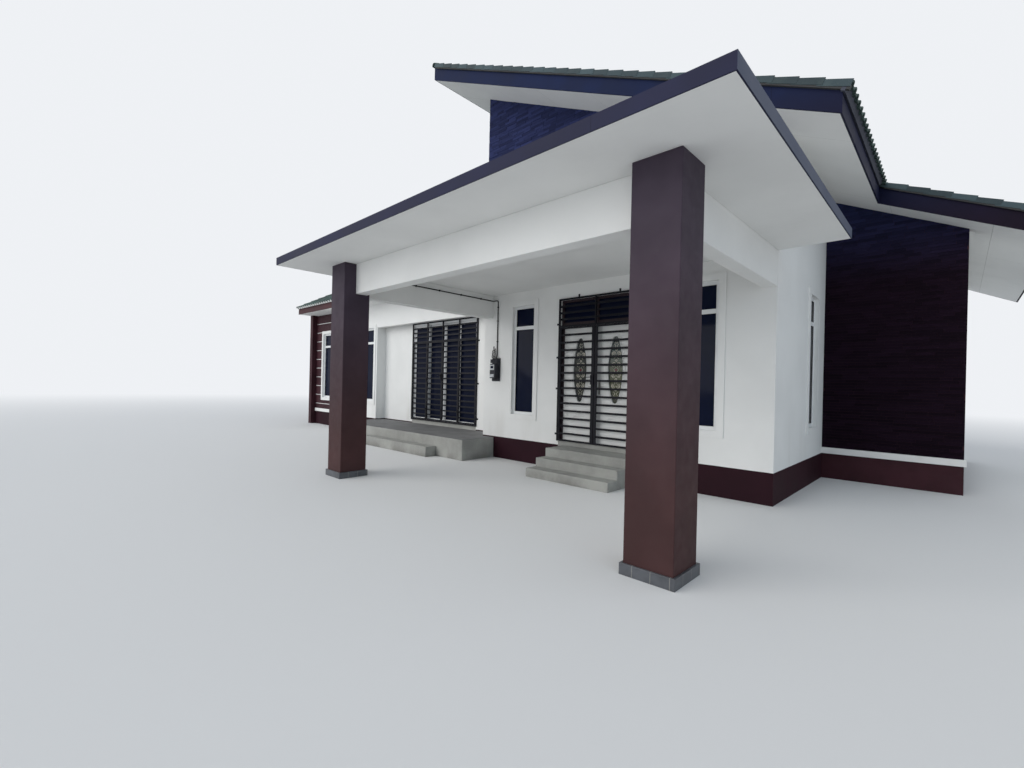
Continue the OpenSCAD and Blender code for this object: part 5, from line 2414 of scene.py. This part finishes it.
@dataclass
class Studio:
    """Camera, lights and floor."""

    yaw: float = math.radians(43.682)
    tip: float = math.radians(-0.023)
    roll: float = math.radians(1.326)
    lens: float = 16.393
    eye: Point = (1.8032, -7.1086, 1.6016)
    floor_colour: Colour = (0.80, 0.80, 0.79)
    backdrop: Colour = (0.86, 0.88, 0.91)
    sky: Colour = (0.54, 0.57, 0.62)
    floor_half: float = 220.0
    fade: tuple[float, float] = (12.0, 46.0)

    def build(self) -> None:
        """Sets up the camera, the lights and the floor."""
        self.build_camera()
        self.build_lights()
        self.build_floor()
        bpy.context.scene.view_settings.view_transform = "Standard"

    def build_camera(self) -> None:
        """Stands the camera where the photograph was taken."""
        data = bpy.data.cameras.new("camera")
        data.lens = self.lens
        data.sensor_width = 36.0
        data.clip_end = 1000.0
        camera = linked("camera", data)
        ahead = Vector((-math.sin(self.yaw) * math.cos(self.tip),
                        math.cos(self.yaw) * math.cos(self.tip), math.sin(self.tip)))
        right = Vector((math.cos(self.yaw), math.sin(self.yaw), 0.0))
        up = right.cross(ahead)
        level = right * math.cos(self.roll) + up * math.sin(self.roll)
        rise = up * math.cos(self.roll) - right * math.sin(self.roll)
        turn = Matrix((level, rise, -ahead)).transposed().to_4x4()
        camera.matrix_world = Matrix.Translation(HOUSE @ Vector(self.eye)) @ turn
        bpy.context.scene.camera = camera

    def build_lights(self) -> None:
        """Lights the house softly from the front, the side and all round."""
        for name, strength, tone, wide, lean, turn in (
            ("key", 1.5, (1.0, 0.985, 0.96), 55.0, 66.0, -26.0),
            ("fill", 0.17, (0.35, 0.75, 1.0), 60.0, 64.0, 62.0),
        ):
            data = bpy.data.lights.new(name, "SUN")
            data.energy = strength
            data.color = tone
            data.angle = math.radians(wide)
            linked(name, data).rotation_euler = (math.radians(lean), 0.0, math.radians(turn))
        world = bpy.data.worlds.new("studio")
        bpy.context.scene.world = world
        graph = cleared(world)
        path = graph.add("ShaderNodeLightPath", out="Is Camera Ray")
        seen = path.most(path.other("Is Glossy Ray")).most(path.other("Is Transmission Ray"))
        colour = graph.mix(seen, self.sky, self.backdrop)
        light = graph.add("ShaderNodeBackground", None, {"Color": colour, "Strength": 1.0})
        graph.end("ShaderNodeOutputWorld", light)

    def build_floor(self) -> None:
        """Lays the pale floor."""
        shell = bmesh.new()
        bmesh.ops.create_grid(shell, x_segments=2, y_segments=2, size=self.floor_half)
        data = bpy.data.meshes.new("studio_floor")
        shell.to_mesh(data)
        shell.free()
        finish = bpy.data.materials.new("studio_floor")
        graph = cleared(finish)
        _, x, y, _ = graph.place()
        far = ((x * x + y * y) ** 0.5).ramp(*self.fade)
        seen = graph.add("ShaderNodeLightPath", out="Is Camera Ray")
        near = graph.add("ShaderNodeBsdfPrincipled", None, {
            "Base Color": rgba(self.floor_colour), "Roughness": 0.9, "Specular IOR Level": 0.1,
        })
        glow = graph.add("ShaderNodeEmission", None, {"Color": rgba(self.backdrop)})
        mixed = graph.add("ShaderNodeMixShader", None, {0: far * seen, 1: near, 2: glow})
        graph.end("ShaderNodeOutputMaterial", mixed)
        data.materials.append(finish)
        linked("studio_floor", data)


def main() -> None:
    """Builds the studio and every sub-assembly in turn."""
    logging.basicConfig(level=logging.INFO, format="%(name)s: %(message)s")
    assemblies = [
        Studio(), HighRoof(), LowRoof(), RoofBoards(), Walls(), Porch(), Steps(), Windows(),
        MainDoor(), SecurityGrilles(), TerraceSlider(), Meter(),
    ]
    for assembly in assemblies:
        LOG.info("building %s", type(assembly).__name__)
        assembly.build()


if __name__ == "__main__":
    main()
